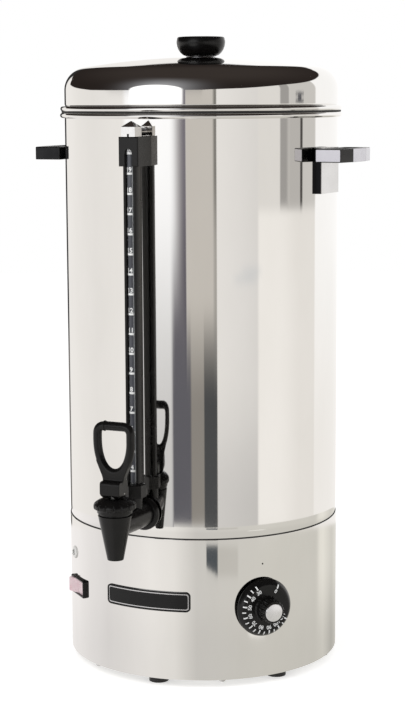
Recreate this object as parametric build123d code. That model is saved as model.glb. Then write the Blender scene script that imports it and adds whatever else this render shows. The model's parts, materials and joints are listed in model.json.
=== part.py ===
"""Hot water urn: a 20 litre electric boiler with a sight gauge and a self-closing tap.

Millimetres, +Z up. The origin is on the urn's axis in the plane that the feet stand on, and the tap
faces -Y. An azimuth is measured from the tap, positive towards +X. Feature of most skill: the tap,
whose lever cam is an involute, so that it stays seated on the bonnet while it lifts the valve stem.
"""
from build123d import *
import os
from math import cos, pi, radians, sin, sqrt, tan

# ---- clearances
FIT = 0.1                   # between pieces fixed to each other
RUN = 0.3                   # between pieces that pass or rest on each other and part
PIVOT = 0.05                # radial, between a shaft and the hole it turns or slides in

# ---- casing and tank
SHEET = 0.8                 # thickness of the tank, skirt and lid sheet
TANK_R = 135.0              # outside of the tank wall
SKIRT_R = TANK_R + 0.4      # outside of the base skirt
SKIRT_BOTTOM = 8.0          # the skirt ends this high above the floor
SEAM_Z = 146.5              # top of the skirt
LAP = 14.0                  # how far the tank wall goes down inside the skirt
SWAGE_RISE = 12.0           # height of the soft curve above the seam
RIM_Z = 545.35              # centre of the wired rim bead
RIM_BEAD = 2.65             # radius of the wired rim bead
FLOOR_Z = SEAM_Z - 4.5      # top face of the tank floor, zero of the litre scale
FLOOR_SHEET = 1.0
FLOOR_FLANGE = 12.0         # depth of the floor's turned-down flange
SKIRT_FLANGE = 8.4          # width of the skirt's turned-in bottom flange

# ---- base plate and feet
PLATE_SHEET = 1.0
PLATE_RIM = 6.0
FOOT_COUNT = 6
FOOT_AZ = 2.0               # azimuth of the first foot
FOOT_CIRCLE_R = SKIRT_R - 19.4
FOOT_R = 9.5
FOOT_NECK_R = 4.0
FOOT_BARB_R = 5.6
FOOT_BARB = 5.0             # height of the barb that holds the foot in the base plate
PLATE_SCREW_R = 1.9
PLATE_SCREW_HEAD_R = 3.2
PLATE_SCREW_HEAD = 2.2
VENT_WIDTH = 4.0
VENT_RINGS = ((40.0, 10, 22.0), (76.0, 18, 26.0))   # radius, count, slot length

# ---- lid
LID_LIP = 9.0               # how far the lid's lip reaches below its bead
LID_BEAD = 3.0              # radius of the lid's rolled bead
LID_GROOVE = 4.5            # height of the groove above the bead
LID_WALL = 13.7             # height of the lid's straight wall above its groove
LID_SHOULDER_R = 22.0
LID_CROWN_SLOPE = 9.8       # degrees, slope of the crown where it meets the shoulder
KNOB_NECK_R = 13.8
KNOB_R = 23.0
KNOB_TOP_R = 21.6
KNOB_HEIGHT = 20.0
KNOB_SCREW_R = 3.0

# ---- heating element
ELEMENT_R = 4.0
ELEMENT_RISE = 16.0         # centre line above the tank floor
ELEMENT_LEG_X = 18.0
ELEMENT_LEG_Y = 70.0
ELEMENT_HALF_WIDTH = 76.0
ELEMENT_FRONT_Y = -60.0
ELEMENT_LEG_BEND = 9.0
ELEMENT_BACK_BEND = 40.0
ELEMENT_FRONT_BEND = 55.0
ELEMENT_TAIL = 30.0         # leg length below the tank floor
FITTING_R = 6.0
FITTING_FLATS = 19.0
FITTING_HEAD = 5.0
FITTING_TAIL = 16.0         # thread below the tank floor
FITTING_NUT = 5.0
SEAL_THICK = 1.5

# ---- controls on the skirt
CONTROL_Z = 78.0
DIAL_AZ = 49.0
DIAL_R = 26.8
DIAL_FACE_R = 23.0
DIAL_GAP = 2.0              # between the skirt and the back of the dial
DIAL_EDGE = 1.8             # height of the dial's straight rim
DIAL_FACE = 9.0             # height of the number face above the dial's back
GRIP_R = 11.6
GRIP_HEIGHT = 13.6
GRIP_FLUTES = 16
DIAL_CAP_R = 9.5
DIAL_CAP = 1.2
SPINDLE_R = 3.0
SPINDLE_FLAT = 1.0          # depth of the flat on the spindle
BUSH_R = 5.0
BUSH_NUT_FLATS = 14.0
THERMOSTAT = (38.0, 34.0, 28.0)     # tangential, up, radial
BULB_R = 3.2
BULB_LENGTH = 78.0
CLIP_WIDTH = 8.0
CLIP_SHEET = 0.8
CLIP_EAR = 7.0              # how far a bulb clip's ears reach to each side
CAPILLARY_R = 1.0

SWITCH_AZ = -42.0
SWITCH_Z = 80.0
BEZEL = (34.6, 17.6)
BEZEL_PROUD = 2.6
ROCKER = (30.4, 14.0)
ROCKER_PIVOT_R = SKIRT_R - 2.2
ROCKER_RISE = 3.0           # centre of the rocker's face above its pivot
ROCKER_THROW = 22.0         # degrees from off to on
SWITCH_BODY = (33.0, 16.4, 20.0)    # tangential, up, radial

LAMP_AZ = -47.0
LAMP_Z = 112.0
LAMP_R = 4.5
LAMP_BEZEL_R = 6.2
LAMP_PROUD = 1.6
LAMP_BODY = 16.0

BADGE = (90.0, 19.4)
BADGE_Z = 85.5
BADGE_THICK = 0.8
BADGE_RIM = 1.3
BADGE_RIM_PROUD = 0.5
BADGE_CORNER = 4.0

GLAND_AZ = 180.0
GLAND_Z = 34.0
GLAND_R = 8.0
GLAND_BORE_R = 4.1
GLAND_FLATS = 20.0
TERMINAL_BLOCK = (44.0, 20.0, 16.0)
TERMINAL_Y = 92.0
CUTOUT_R = 8.2

# ---- handles
HANDLE_AZ = 87.0
HANDLE_TOP = RIM_Z - 31.15
HANDLE_HEIGHT = 14.2
HANDLE_ROOT_R = TANK_R + 4.0    # back of the handle, face of its bracket
HANDLE_FACE_R = HANDLE_ROOT_R + 36.2
HANDLE_SIDE_R = HANDLE_FACE_R - 6.9     # where the side arm ends and the slanted corner starts
HANDLE_HALF = 36.0          # half the handle's length round the urn
HANDLE_FACE_HALF = 15.6
HANDLE_GAP_CORNER = 5.0
HANDLE_ARM = 8.0
HANDLE_BACK = 4.0
HANDLE_GRIP = 8.5           # radial thickness of the grip bar at its middle
INLAY_MARGIN = 1.2
INLAY_THICK = 0.8
BRACKET_HALF = 21.7
BRACKET_BOTTOM = HANDLE_TOP - 43.6
BRACKET_SHEET = 1.5
HANDLE_SCREW_R = 2.5
HANDLE_SCREW_X = 14.0
HANDLE_SCREW_HEAD_R = 4.6
HANDLE_SCREW_HEAD = 2.6

# ---- tap
TAP_Z = SEAM_Z + 24.5       # axis of the shank
SPOUT_R = TANK_R + 62.5     # distance of the spout's axis from the urn's axis
SHANK_R = 8.0
SHANK_BORE_R = 5.5
SHANK_INSIDE = 14.0         # how far the shank reaches into the tank
SHANK_NUT_FLATS = 24.0
SHANK_NUT = 6.0
SHANK_SEAL_R = 12.5
SHANK_SEAL = 2.5
TAP_FLANGE_R = 16.4
TAP_FLANGE = 5.0
BARREL_R = 12.6
SPOUT_TIP_Z = TAP_Z - 31.0
SPOUT_TIP_R = 7.6
SPOUT_TOP_Z = TAP_Z + 11.0
SPOUT_TOP_R = 15.8
SPOUT_BORE_R = 5.0
SEAT_Z = TAP_Z - 13.0
CHAMBER_R = 11.0
NECK_R = 14.0
NECK_TOP_Z = TAP_Z + 21.0
BONNET_BOTTOM = TAP_Z + 13.5
BONNET_TOP = TAP_Z + 27.0
BONNET_TOP_R = 11.5
BONNET_BAND_R = 16.8
BONNET_KNURL_R = 21.6
BONNET_KNURL = (BONNET_TOP - 11.0, BONNET_TOP - 5.0)
BONNET_FLUTES = 24
BONNET_ROOF = 3.6
STEM_R = 4.0
STEM_LIFT = 3.2
STEM_TANG = 5.0
SPRING_COLLAR_R = 6.6
SPRING_COLLAR = 2.0
CUP_R = 8.6
CUP_HEIGHT = 9.0
SPRING_MEAN_R = 5.8
SPRING_WIRE_R = 0.6
SPRING_TURNS = 6
LEVER_PIN_Z = BONNET_TOP + 6.0
LEVER_PIN_R = 1.5
LEVER_THROW = 40.0          # degrees
HUB_HALF = 10.0
HUB_BACK = 7.3              # from the pin to the back of the hub
CAM_SWEEP = 57.0            # degrees of cam, ending at the front of the hub
HUB_TOP = LEVER_PIN_Z + 10.5
RING_TOP = LEVER_PIN_Z + 65.0
RING_HALF = 20.3
RING_BAR = 4.1              # radius of the ring's round bar
RING_FOOT_HALF = 12.4       # half width of the ring where it starts to round off below
RING_FOOT_Z = LEVER_PIN_Z + 17.3    # centre of the bar at the bottom of the ring

# ---- sight gauge
GAUGE_R = TANK_R + 22.5     # distance of the glass tube's axis from the urn's axis
TUBE_R = 3.5
TUBE_WALL = 1.0
BOSS_R = 8.0
BOSS_TOP = TAP_Z + 26.0
BOSS_SOCKET = 9.0
GAUGE_NUT_FLATS = 20.2
GAUGE_NUT = (BOSS_TOP - 6.0, BOSS_TOP + 6.5)
GAUGE_NUT_ROOF = 2.9
GUARD_HALF = 6.6
GUARD_LIP = 2.8
GUARD_BACK = 1.2
GUARD_DEPTH = 8.6
GUARD_FRONT_R = GAUGE_R + 3.7
CLIP_HALF = 10.0
CLIP_TOP = RIM_Z - 18.35
CLIP_BOTTOM = CLIP_TOP - 27.0
CLIP_FACE = 1.4
CLIP_SLOT_TOP = CLIP_TOP - 11.0
CLIP_ROOF = 1.6
CLIP_SCREW_R = 2.0
CAP_HALF = 7.0
CAP_SETBACK = 1.9           # the cap's centre lies this far behind the tube's axis
CAP_TOP = CLIP_TOP + 9.0
CAP_PEAK = CAP_TOP + 5.2
VENT_Z = CLIP_TOP + 4.6
VENT_STUB_R = 4.0
VENT_BORE_R = 2.3
VENT_STUB_INSIDE = 7.0
VENT_NUT_FLATS = 12.0
VENT_NUT = 3.4

UP = (Align.CENTER, Align.CENTER, Align.MIN)


# ---- shared forms
def rod(radius, low, high):
    """Upright cylinder between two heights."""
    return Pos(0, 0, low) * Cylinder(radius, high - low, align=UP)


def pipe(outer, inner, low, high):
    """Upright tube between two heights."""
    return rod(outer, low, high) - Pos(0, 0, low) * Cylinder(inner, high - low, align=UP)


def slab(width, depth, low, high):
    """Upright block, centred on Z."""
    return Pos(0, 0, low) * Box(width, depth, high - low, align=UP)


def hexagon(flats, low, high, turn=0):
    """Upright hexagonal prism, given across its flats."""
    outline = RegularPolygon(flats / 2, 6, major_radius=False, rotation=turn)
    return Pos(0, 0, low) * extrude(outline, high - low)


def turned(*edges):
    """Body of revolution about Z from closed edges drawn in the XZ plane."""
    return revolve(make_face(list(edges)), Axis.Z)


def turned_polygon(*points):
    """Body of revolution about Z from (radius, height) corners."""
    return turned(*Polyline(*[(r, 0, z) for r, z in points], close=True).edges())


def outward(shape):
    """Stands a shape that was drawn along Z out along the tap's direction, its Y upwards."""
    return Rot(90, 0, 0) * shape


def around(shape, azimuth):
    """Turns a shape from the tap's direction to another azimuth."""
    return Rot(0, 0, azimuth) * shape


def on_wall(shape, height, azimuth=0.0):
    """Puts a shape drawn along Z, Z being distance from the urn's axis, on the wall."""
    return around(Pos(0, 0, height) * outward(shape), azimuth)


def each_azimuth(shape, count, first=0.0):
    """Copies of a shape, evenly spaced round the urn's axis."""
    return [around(shape, first + 360.0 * i / count) for i in range(count)]


def fluted(radius, count, cut, low, high):
    """Upright cylinder with round grooves all round it."""
    outline = Circle(radius)
    for i in range(count):
        outline -= Rot(0, 0, 360.0 * (i + 0.5) / count) * Pos(radius + 0.6 * cut, 0) * Circle(cut)
    return Pos(0, 0, low) * extrude(outline, high - low)


def group(shapes):
    """Separate solids of one node."""
    return Compound(children=[solid for shape in shapes for solid in shape.solids()])


def save(shape, node):
    """Writes one node."""
    export_step(shape, f"parts/{node}.step")


# ---- derived places
TANK_IN_R = TANK_R - SHEET
SKIRT_IN_R = SKIRT_R - SHEET
LAP_R = SKIRT_IN_R - FIT
LAP_BOTTOM = SEAM_Z - LAP
FLOOR_R = LAP_R - SHEET - FIT
FLOOR_UNDER = FLOOR_Z - FLOOR_SHEET
RIM_CURL_R = TANK_IN_R + RIM_BEAD
RIM_TOP = RIM_Z + RIM_BEAD
FLANGE_TOP = SKIRT_BOTTOM + SHEET
PLATE_TOP = FLANGE_TOP + PLATE_SHEET
PLATE_R = SKIRT_IN_R - FIT
PLATE_SCREW_CIRCLE_R = SKIRT_IN_R - PLATE_SCREW_HEAD_R - 0.4
PLATE_SCREW_AZ = FOOT_AZ + 180.0 / FOOT_COUNT
LID_LIP_R = TANK_IN_R - RUN
LID_BEAD_R = LID_LIP_R - SHEET / 2 + LID_BEAD
LID_BEAD_Z = RIM_TOP + RUN + LID_BEAD
LID_GROOVE_TOP = LID_BEAD_Z + LID_GROOVE
LID_SHOULDER_Z = LID_GROOVE_TOP + LID_WALL
LID_R = TANK_R


def swaged_cylinder(inset, low, high):
    """The tank's outline as a solid, shrunk by a sheet thickness where wanted."""
    lap, wall = LAP_R - inset, TANK_R - inset
    swage_top = SEAM_Z + SWAGE_RISE
    return turned(
        Line((0, 0, low), (lap, 0, low)),
        Line((lap, 0, low), (lap, 0, SEAM_Z)),
        TangentArc((wall, 0, swage_top), (lap, 0, SEAM_Z), tangent=(0, 0, -1)),
        Line((wall, 0, swage_top), (wall, 0, high)),
        Line((wall, 0, high), (0, 0, high)),
        Line((0, 0, high), (0, 0, low)),
    )


def tank_wall():
    past = 1.0
    wall = swaged_cylinder(0, LAP_BOTTOM, RIM_Z) - swaged_cylinder(SHEET, LAP_BOTTOM - past, RIM_Z + past)
    wall += Pos(0, 0, RIM_Z) * Torus(RIM_CURL_R, RIM_BEAD)
    wall -= on_wall(rod(SHANK_R + FIT, TANK_IN_R - 9, TANK_R + 9), TAP_Z)
    wall -= on_wall(rod(VENT_STUB_R + FIT, TANK_IN_R - 9, TANK_R + 9), VENT_Z)
    wall -= on_wall(rod(CLIP_SCREW_R + FIT, TANK_IN_R - 9, TANK_R + 9), CLIP_SCREW_Z)
    return wall


def element_legs(shape):
    """The two places where the element passes the tank floor."""
    return [Pos(side * ELEMENT_LEG_X, ELEMENT_LEG_Y, 0) * shape for side in (-1, 1)]


def tank_floor():
    floor = rod(FLOOR_R, FLOOR_Z - FLOOR_FLANGE, FLOOR_Z)
    floor = fillet(floor.edges().group_by(Axis.Z)[-1], 2.5)
    inner = rod(FLOOR_R - FLOOR_SHEET, FLOOR_Z - FLOOR_FLANGE - 1, FLOOR_UNDER)
    floor -= fillet(inner.edges().group_by(Axis.Z)[-1], 2.5 - FLOOR_SHEET)
    for hole in element_legs(rod(FITTING_R + FIT, FLOOR_UNDER - 1, FLOOR_Z + 1)):
        floor -= hole
    return floor


def base_skirt():
    skirt = rod(SKIRT_R, SKIRT_BOTTOM, SEAM_Z)
    skirt = fillet(skirt.edges().group_by(Axis.Z)[0], SHEET)
    skirt -= rod(SKIRT_IN_R, FLANGE_TOP, SEAM_Z + 1)
    skirt -= rod(SKIRT_R - SKIRT_FLANGE, SKIRT_BOTTOM - 1, FLANGE_TOP + 1)
    through = (SKIRT_IN_R - 9, SKIRT_R + 9)
    skirt -= on_wall(rod(BUSH_R + FIT, *through), CONTROL_Z, DIAL_AZ)
    skirt -= on_wall(slab(SWITCH_BODY[0] + 2 * FIT, SWITCH_BODY[1] + 2 * FIT, *through), SWITCH_Z, SWITCH_AZ)
    skirt -= on_wall(rod(LAMP_R - 0.5 + FIT, *through), LAMP_Z, LAMP_AZ)
    skirt -= on_wall(rod(GLAND_R + FIT, *through), GLAND_Z, GLAND_AZ)
    screw_hole = Pos(0, -PLATE_SCREW_CIRCLE_R, 0) * rod(PLATE_SCREW_R + FIT, 0, PLATE_TOP)
    for hole in each_azimuth(screw_hole, FOOT_COUNT, PLATE_SCREW_AZ):
        skirt -= hole
    return skirt


def base_plate():
    plate = rod(PLATE_R, FLANGE_TOP, FLANGE_TOP + PLATE_RIM)
    plate -= rod(PLATE_R - PLATE_SHEET, PLATE_TOP, FLANGE_TOP + PLATE_RIM + 1)
    for radius, count, length in VENT_RINGS:
        slot = Pos(0, -radius, 0) * Rot(0, 0, 90) * SlotOverall(length, VENT_WIDTH)
        slot = Pos(0, 0, FLANGE_TOP - 1) * extrude(slot, PLATE_SHEET + 2)
        for cut in each_azimuth(slot, count):
            plate -= cut
    foot_hole = Pos(0, -FOOT_CIRCLE_R, 0) * rod(FOOT_NECK_R + PIVOT, 0, PLATE_TOP + 1)
    screw_hole = Pos(0, -PLATE_SCREW_CIRCLE_R, 0) * rod(PLATE_SCREW_R + FIT, 0, PLATE_TOP + 1)
    for cut in each_azimuth(foot_hole, FOOT_COUNT, FOOT_AZ):
        plate -= cut
    for cut in each_azimuth(screw_hole, FOOT_COUNT, PLATE_SCREW_AZ):
        plate -= cut
    return plate


def rubber_feet():
    """Push-in feet, each held by its barb above the base plate."""
    barb = PLATE_TOP + FIT
    foot = turned_polygon(
        (0, 0), (FOOT_R, 0), (FOOT_R, FLANGE_TOP), (FOOT_NECK_R, FLANGE_TOP), (FOOT_NECK_R, barb),
        (FOOT_BARB_R, barb), (FOOT_NECK_R - 1.0, barb + FOOT_BARB), (0, barb + FOOT_BARB))
    return each_azimuth(Pos(0, -FOOT_CIRCLE_R, 0) * foot, FOOT_COUNT, FOOT_AZ)


def base_plate_screws():
    head = rod(PLATE_SCREW_HEAD_R, SKIRT_BOTTOM - PLATE_SCREW_HEAD, SKIRT_BOTTOM)
    head = fillet(head.edges().group_by(Axis.Z)[0], 1.0)
    screw = head + rod(PLATE_SCREW_R, SKIRT_BOTTOM - 1, PLATE_TOP + 3)
    return each_azimuth(Pos(0, -PLATE_SCREW_CIRCLE_R, 0) * screw, FOOT_COUNT, PLATE_SCREW_AZ)


# ---- lid
def crown(inset):
    """The lid's upper outline as a solid: wall, shoulder arc and shallow crown."""
    slope = radians(LID_CROWN_SLOPE)
    wall, shoulder = LID_R - inset, LID_SHOULDER_R - inset
    centre = LID_R - LID_SHOULDER_R
    edge_r = centre + shoulder * sin(slope)
    edge_z = LID_SHOULDER_Z + shoulder * cos(slope)
    half = (pi / 2 - slope) / 2
    middle = (centre + shoulder * cos(half), 0, LID_SHOULDER_Z + shoulder * sin(half))
    crown_r = edge_r / sin(slope)
    top = edge_z + edge_r * tan(slope / 2)
    crown_middle = (crown_r * sin(slope / 2), 0, top - crown_r * (1 - cos(slope / 2)))
    return turned(
        Line((0, 0, LID_GROOVE_TOP), (wall, 0, LID_GROOVE_TOP)),
        Line((wall, 0, LID_GROOVE_TOP), (wall, 0, LID_SHOULDER_Z)),
        ThreePointArc((wall, 0, LID_SHOULDER_Z), middle, (edge_r, 0, edge_z)),
        ThreePointArc((edge_r, 0, edge_z), crown_middle, (0, 0, top)),
        Line((0, 0, top), (0, 0, LID_GROOVE_TOP)),
    )


def lid_top():
    """Height of the crown's outside on the axis."""
    slope = radians(LID_CROWN_SLOPE)
    edge_r = LID_R - LID_SHOULDER_R + LID_SHOULDER_R * sin(slope)
    return LID_SHOULDER_Z + LID_SHOULDER_R * cos(slope) + edge_r * tan(slope / 2)


def lid_shell():
    lip_bottom = LID_BEAD_Z - LID_LIP
    flare = LID_GROOVE_TOP - LID_GROOVE / 2
    outside = crown(0) + rod(LID_LIP_R, lip_bottom, flare)
    outside += turned_polygon((0, flare), (LID_LIP_R, flare), (LID_R, LID_GROOVE_TOP), (0, LID_GROOVE_TOP))
    inside = crown(SHEET) + rod(LID_LIP_R - SHEET, lip_bottom - 1, flare)
    inside += turned_polygon(
        (0, flare), (LID_LIP_R - SHEET, flare), (LID_R - SHEET, LID_GROOVE_TOP), (0, LID_GROOVE_TOP))
    bead = Pos(0, 0, LID_BEAD_Z) * Torus(LID_BEAD_R, LID_BEAD)
    shell = outside - inside + (bead - rod(LID_LIP_R - SHEET, LID_BEAD_Z - 9, LID_BEAD_Z + 9))
    return shell - rod(KNOB_SCREW_R + FIT, lid_top() - 9, lid_top() + 9)


def knob_seat_z():
    """Height of the crown's outside under the rim of the knob's neck."""
    slope = radians(LID_CROWN_SLOPE)
    crown_r = (LID_R - LID_SHOULDER_R + LID_SHOULDER_R * sin(slope)) / sin(slope)
    return lid_top() - crown_r + sqrt(crown_r**2 - KNOB_NECK_R**2)


def lid_knob():
    base, top = knob_seat_z(), lid_top() + KNOB_HEIGHT
    neck = lid_top() + 2.6
    widest = top - 5.0
    knob = turned(
        Line((0, 0, base), (KNOB_NECK_R, 0, base)),
        Line((KNOB_NECK_R, 0, base), (KNOB_NECK_R, 0, neck)),
        Spline((KNOB_NECK_R, 0, neck), (KNOB_R - 1.8, 0, neck + 5.4), (KNOB_R, 0, widest),
               tangents=[(1, 0, 0.45), (0, 0, 1)]),
        Line((KNOB_R, 0, widest), (KNOB_TOP_R, 0, top - 0.9)),
        ThreePointArc((KNOB_TOP_R, 0, top - 0.9), (KNOB_TOP_R - 0.4, 0, top - 0.25), (KNOB_TOP_R - 1.2, 0, top)),
        Line((KNOB_TOP_R - 1.2, 0, top), (0, 0, top)),
        Line((0, 0, top), (0, 0, base)),
    )
    knob -= crown(0)
    return knob - rod(KNOB_SCREW_R + PIVOT, base - 5, top - 6)


def knob_screw():
    """Screw and wide washer face that hold the knob from under the lid."""
    under = lid_top() - SHEET
    crown_drop = 0.25
    head = rod(9.0, under - crown_drop - 3.0, under - crown_drop)
    return head + rod(KNOB_SCREW_R, under - 2, lid_top() + KNOB_HEIGHT - 7)


# ---- heating element and what is under the tank
def heating_element():
    z = FLOOR_Z + ELEMENT_RISE
    bottom = FLOOR_UNDER - ELEMENT_TAIL
    corners = [
        (-ELEMENT_LEG_X, ELEMENT_LEG_Y, bottom),
        (-ELEMENT_LEG_X, ELEMENT_LEG_Y, z),
        (-ELEMENT_HALF_WIDTH, ELEMENT_LEG_Y, z),
        (-ELEMENT_HALF_WIDTH, ELEMENT_FRONT_Y, z),
        (ELEMENT_HALF_WIDTH, ELEMENT_FRONT_Y, z),
        (ELEMENT_HALF_WIDTH, ELEMENT_LEG_Y, z),
        (ELEMENT_LEG_X, ELEMENT_LEG_Y, z),
        (ELEMENT_LEG_X, ELEMENT_LEG_Y, bottom),
    ]
    bends = [ELEMENT_LEG_BEND, ELEMENT_BACK_BEND, ELEMENT_FRONT_BEND]
    path = FilletPolyline(*corners, radius=bends + bends[::-1])
    tube = sweep(Plane(origin=corners[0], z_dir=(0, 0, 1)) * Circle(ELEMENT_R), path=path)
    for pin in element_legs(rod(ELEMENT_R / 3, bottom - 12, bottom + 1)):
        tube += pin
    return tube


def element_fittings():
    low = FLOOR_Z + SEAL_THICK
    head = hexagon(FITTING_FLATS, low, low + FITTING_HEAD)
    fitting = chamfer(head.edges().group_by(Axis.Z)[-1], 0.8) + rod(
        FITTING_R, FLOOR_UNDER - FITTING_TAIL, low + 1)
    fitting -= rod(ELEMENT_R + PIVOT, FLOOR_UNDER - FITTING_TAIL - 1, low + FITTING_HEAD + 1)
    return element_legs(fitting)


def element_seals():
    return element_legs(pipe(FITTING_FLATS / 2, FITTING_R + PIVOT, FLOOR_Z, FLOOR_Z + SEAL_THICK))


def element_nuts():
    low = FLOOR_UNDER - FITTING_NUT
    nut = hexagon(FITTING_FLATS, low, FLOOR_UNDER) - rod(FITTING_R + PIVOT, low - 1, FLOOR_UNDER + 1)
    return element_legs(nut)


BULB_Z = FLOOR_UNDER - BULB_R
BULB_Y = -30.0
THERMOSTAT_FACE_R = sqrt(SKIRT_IN_R**2 - (THERMOSTAT[0] / 2) ** 2) - FIT
THERMOSTAT_BACK_R = THERMOSTAT_FACE_R - THERMOSTAT[2]


def thermostat_bulb():
    bulb = Rot(0, 90, 0) * rod(BULB_R, -BULB_LENGTH / 2, BULB_LENGTH / 2)
    return Pos(0, BULB_Y, BULB_Z) * fillet(bulb.edges(), 1.5)


def bulb_clips():
    """Two saddle clips that hold the bulb against the tank floor."""
    inner = BULB_R + PIVOT
    outer = inner + CLIP_SHEET
    saddle = Rot(0, 90, 0) * Cylinder(outer, CLIP_WIDTH)
    saddle += Box(CLIP_WIDTH, 2 * outer, BULB_R, align=UP)
    saddle += Pos(0, 0, BULB_R - CLIP_SHEET) * Box(CLIP_WIDTH, 2 * (outer + CLIP_EAR), CLIP_SHEET, align=UP)
    saddle -= Rot(0, 90, 0) * Cylinder(inner, 2 * CLIP_WIDTH)
    saddle -= Box(2 * CLIP_WIDTH, 2 * inner, outer, align=UP)
    saddle &= Pos(0, 0, -outer - 1) * Box(2 * CLIP_WIDTH, 4 * (outer + CLIP_EAR), outer + 1 + BULB_R, align=UP)
    return [Pos(x, BULB_Y, BULB_Z) * saddle for x in (-BULB_LENGTH / 3, BULB_LENGTH / 3)]


def thermostat_body():
    width, height, depth = THERMOSTAT
    box = slab(width, height, THERMOSTAT_BACK_R, THERMOSTAT_FACE_R)
    box = fillet(box.edges().filter_by(Axis.Z), 3.0)
    box += slab(width - 8, 10, THERMOSTAT_BACK_R - 5, THERMOSTAT_BACK_R + 1)
    for x in (-9, 0, 9):
        box += Pos(x, 0, 0) * slab(1.0, 6.3, THERMOSTAT_BACK_R - 13, THERMOSTAT_BACK_R + 1)
    box += rod(BUSH_R, THERMOSTAT_FACE_R - 1, SKIRT_R + 2.6)
    box -= rod(SPINDLE_R + PIVOT, THERMOSTAT_BACK_R + 10, SKIRT_R + 9)
    return on_wall(box, CONTROL_Z, DIAL_AZ)


def capillary_tube():
    """Fine tube from the thermostat's back, up and across to the bulb's end."""
    out = radians(DIAL_AZ)
    start_r = THERMOSTAT_BACK_R
    x, y = start_r * sin(out), -start_r * cos(out)
    z = CONTROL_Z + THERMOSTAT[1] / 2 - 5
    corners = [
        (x, y, z),
        (x - 14 * sin(out), y + 14 * cos(out), z),
        (x - 14 * sin(out) - 8, y + 14 * cos(out) + 4, BULB_Z - 22),
        (BULB_LENGTH / 2 + 16, BULB_Y, BULB_Z),
        (BULB_LENGTH / 2, BULB_Y, BULB_Z),
    ]
    path = FilletPolyline(*corners, radius=[6, 8, 6])
    return sweep(Plane(origin=path @ 0, z_dir=path % 0) * Circle(CAPILLARY_R), path=path)


def thermostat_nut():
    low = SKIRT_R
    nut = hexagon(BUSH_NUT_FLATS, low, low + 2.4) - rod(BUSH_R + PIVOT, low - 1, low + 9)
    return on_wall(nut, CONTROL_Z, DIAL_AZ)


def boil_dry_cutout():
    """Snap-disc cut-out, reset by hand from below, bolted to the tank floor."""
    disc = rod(CUTOUT_R, FLOOR_UNDER - 9, FLOOR_UNDER)
    disc += slab(34, 9, FLOOR_UNDER - 1.2, FLOOR_UNDER)
    disc += rod(5.5, FLOOR_UNDER - 14, FLOOR_UNDER - 8)
    for y in (-4.5, 4.5):
        disc += Pos(0, y, 0) * slab(6.3, 0.8, FLOOR_UNDER - 22, FLOOR_UNDER - 12)
    return Pos(0, 24, 0) * disc


def spindle(clearance=0.0):
    """Thermostat spindle with its flat, drawn along Z."""
    radius = SPINDLE_R + clearance
    shaft = rod(radius, THERMOSTAT_BACK_R + 11, SKIRT_R + DIAL_GAP + DIAL_FACE + 7)
    flat = Pos(0, SPINDLE_R - SPINDLE_FLAT + clearance, 0) * Box(
        3 * radius, 3 * radius, 40, align=(Align.CENTER, Align.MIN, Align.MIN))
    return shaft - Pos(0, 0, SKIRT_R + 4) * flat


def thermostat_spindle():
    return on_wall(spindle(), CONTROL_Z, DIAL_AZ)


DIAL_BACK_R = SKIRT_R + DIAL_GAP
DIAL_FACE_AT = DIAL_BACK_R + DIAL_FACE
GRIP_TOP_R = DIAL_FACE_AT + GRIP_HEIGHT


def dial_knob():
    knob = turned_polygon(
        (0, DIAL_BACK_R), (DIAL_R, DIAL_BACK_R), (DIAL_R, DIAL_BACK_R + DIAL_EDGE),
        (DIAL_FACE_R, DIAL_FACE_AT), (0, DIAL_FACE_AT))
    grip = fluted(GRIP_R, GRIP_FLUTES, 1.5, DIAL_FACE_AT - 1, GRIP_TOP_R)
    knob += grip & turned_polygon(
        (0, DIAL_FACE_AT - 1), (GRIP_R + 1, DIAL_FACE_AT - 1), (GRIP_R + 1, GRIP_TOP_R - 2.0),
        (GRIP_R - 1.0, GRIP_TOP_R), (0, GRIP_TOP_R))
    knob -= turned_polygon(
        (0, DIAL_BACK_R - 1), (DIAL_FACE_R + 1, DIAL_BACK_R - 1), (DIAL_FACE_R + 1, DIAL_BACK_R + 0.5),
        (DIAL_FACE_R - 2, DIAL_FACE_AT - 2), (BUSH_NUT_FLATS * 0.75, DIAL_FACE_AT - 2),
        (BUSH_NUT_FLATS * 0.7, DIAL_BACK_R + 4), (0, DIAL_BACK_R + 4))
    knob -= spindle(PIVOT)
    knob -= rod(DIAL_CAP_R + PIVOT, GRIP_TOP_R - 1.0, GRIP_TOP_R + 1)
    return on_wall(knob, CONTROL_Z, DIAL_AZ)


def dial_cap():
    low = GRIP_TOP_R - 1.0
    cap = rod(DIAL_CAP_R, low, low + DIAL_CAP + 1.0)
    cap = fillet(cap.edges().group_by(Axis.Z)[-1], 0.7)
    return on_wall(cap, CONTROL_Z, DIAL_AZ)


# ---- switch and lamp
def switch_housing():
    width, height, depth = SWITCH_BODY
    front = SKIRT_R + BEZEL_PROUD
    bezel = slab(BEZEL[0], BEZEL[1], SKIRT_R - 4, front)
    bezel = fillet(bezel.edges().filter_by(Axis.Z), 1.6)
    bezel = fillet(bezel.faces().sort_by(Axis.Z)[-1].edges(), 0.8)
    bezel = on_wall(bezel, SWITCH_Z, SWITCH_AZ) - rod(SKIRT_R, 0, SEAM_Z)
    body = slab(width, height, SKIRT_IN_R - depth, front - 1)
    body += slab(width - 10, 0.8, SKIRT_IN_R - depth - 9, SKIRT_IN_R - depth + 1)
    housing = bezel + on_wall(body, SWITCH_Z, SWITCH_AZ)
    well = slab(ROCKER[0] + 4 * RUN, ROCKER[1] + 2 * RUN, ROCKER_PIVOT_R - 7, front + 9)
    return housing - on_wall(well, SWITCH_Z, SWITCH_AZ)


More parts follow.
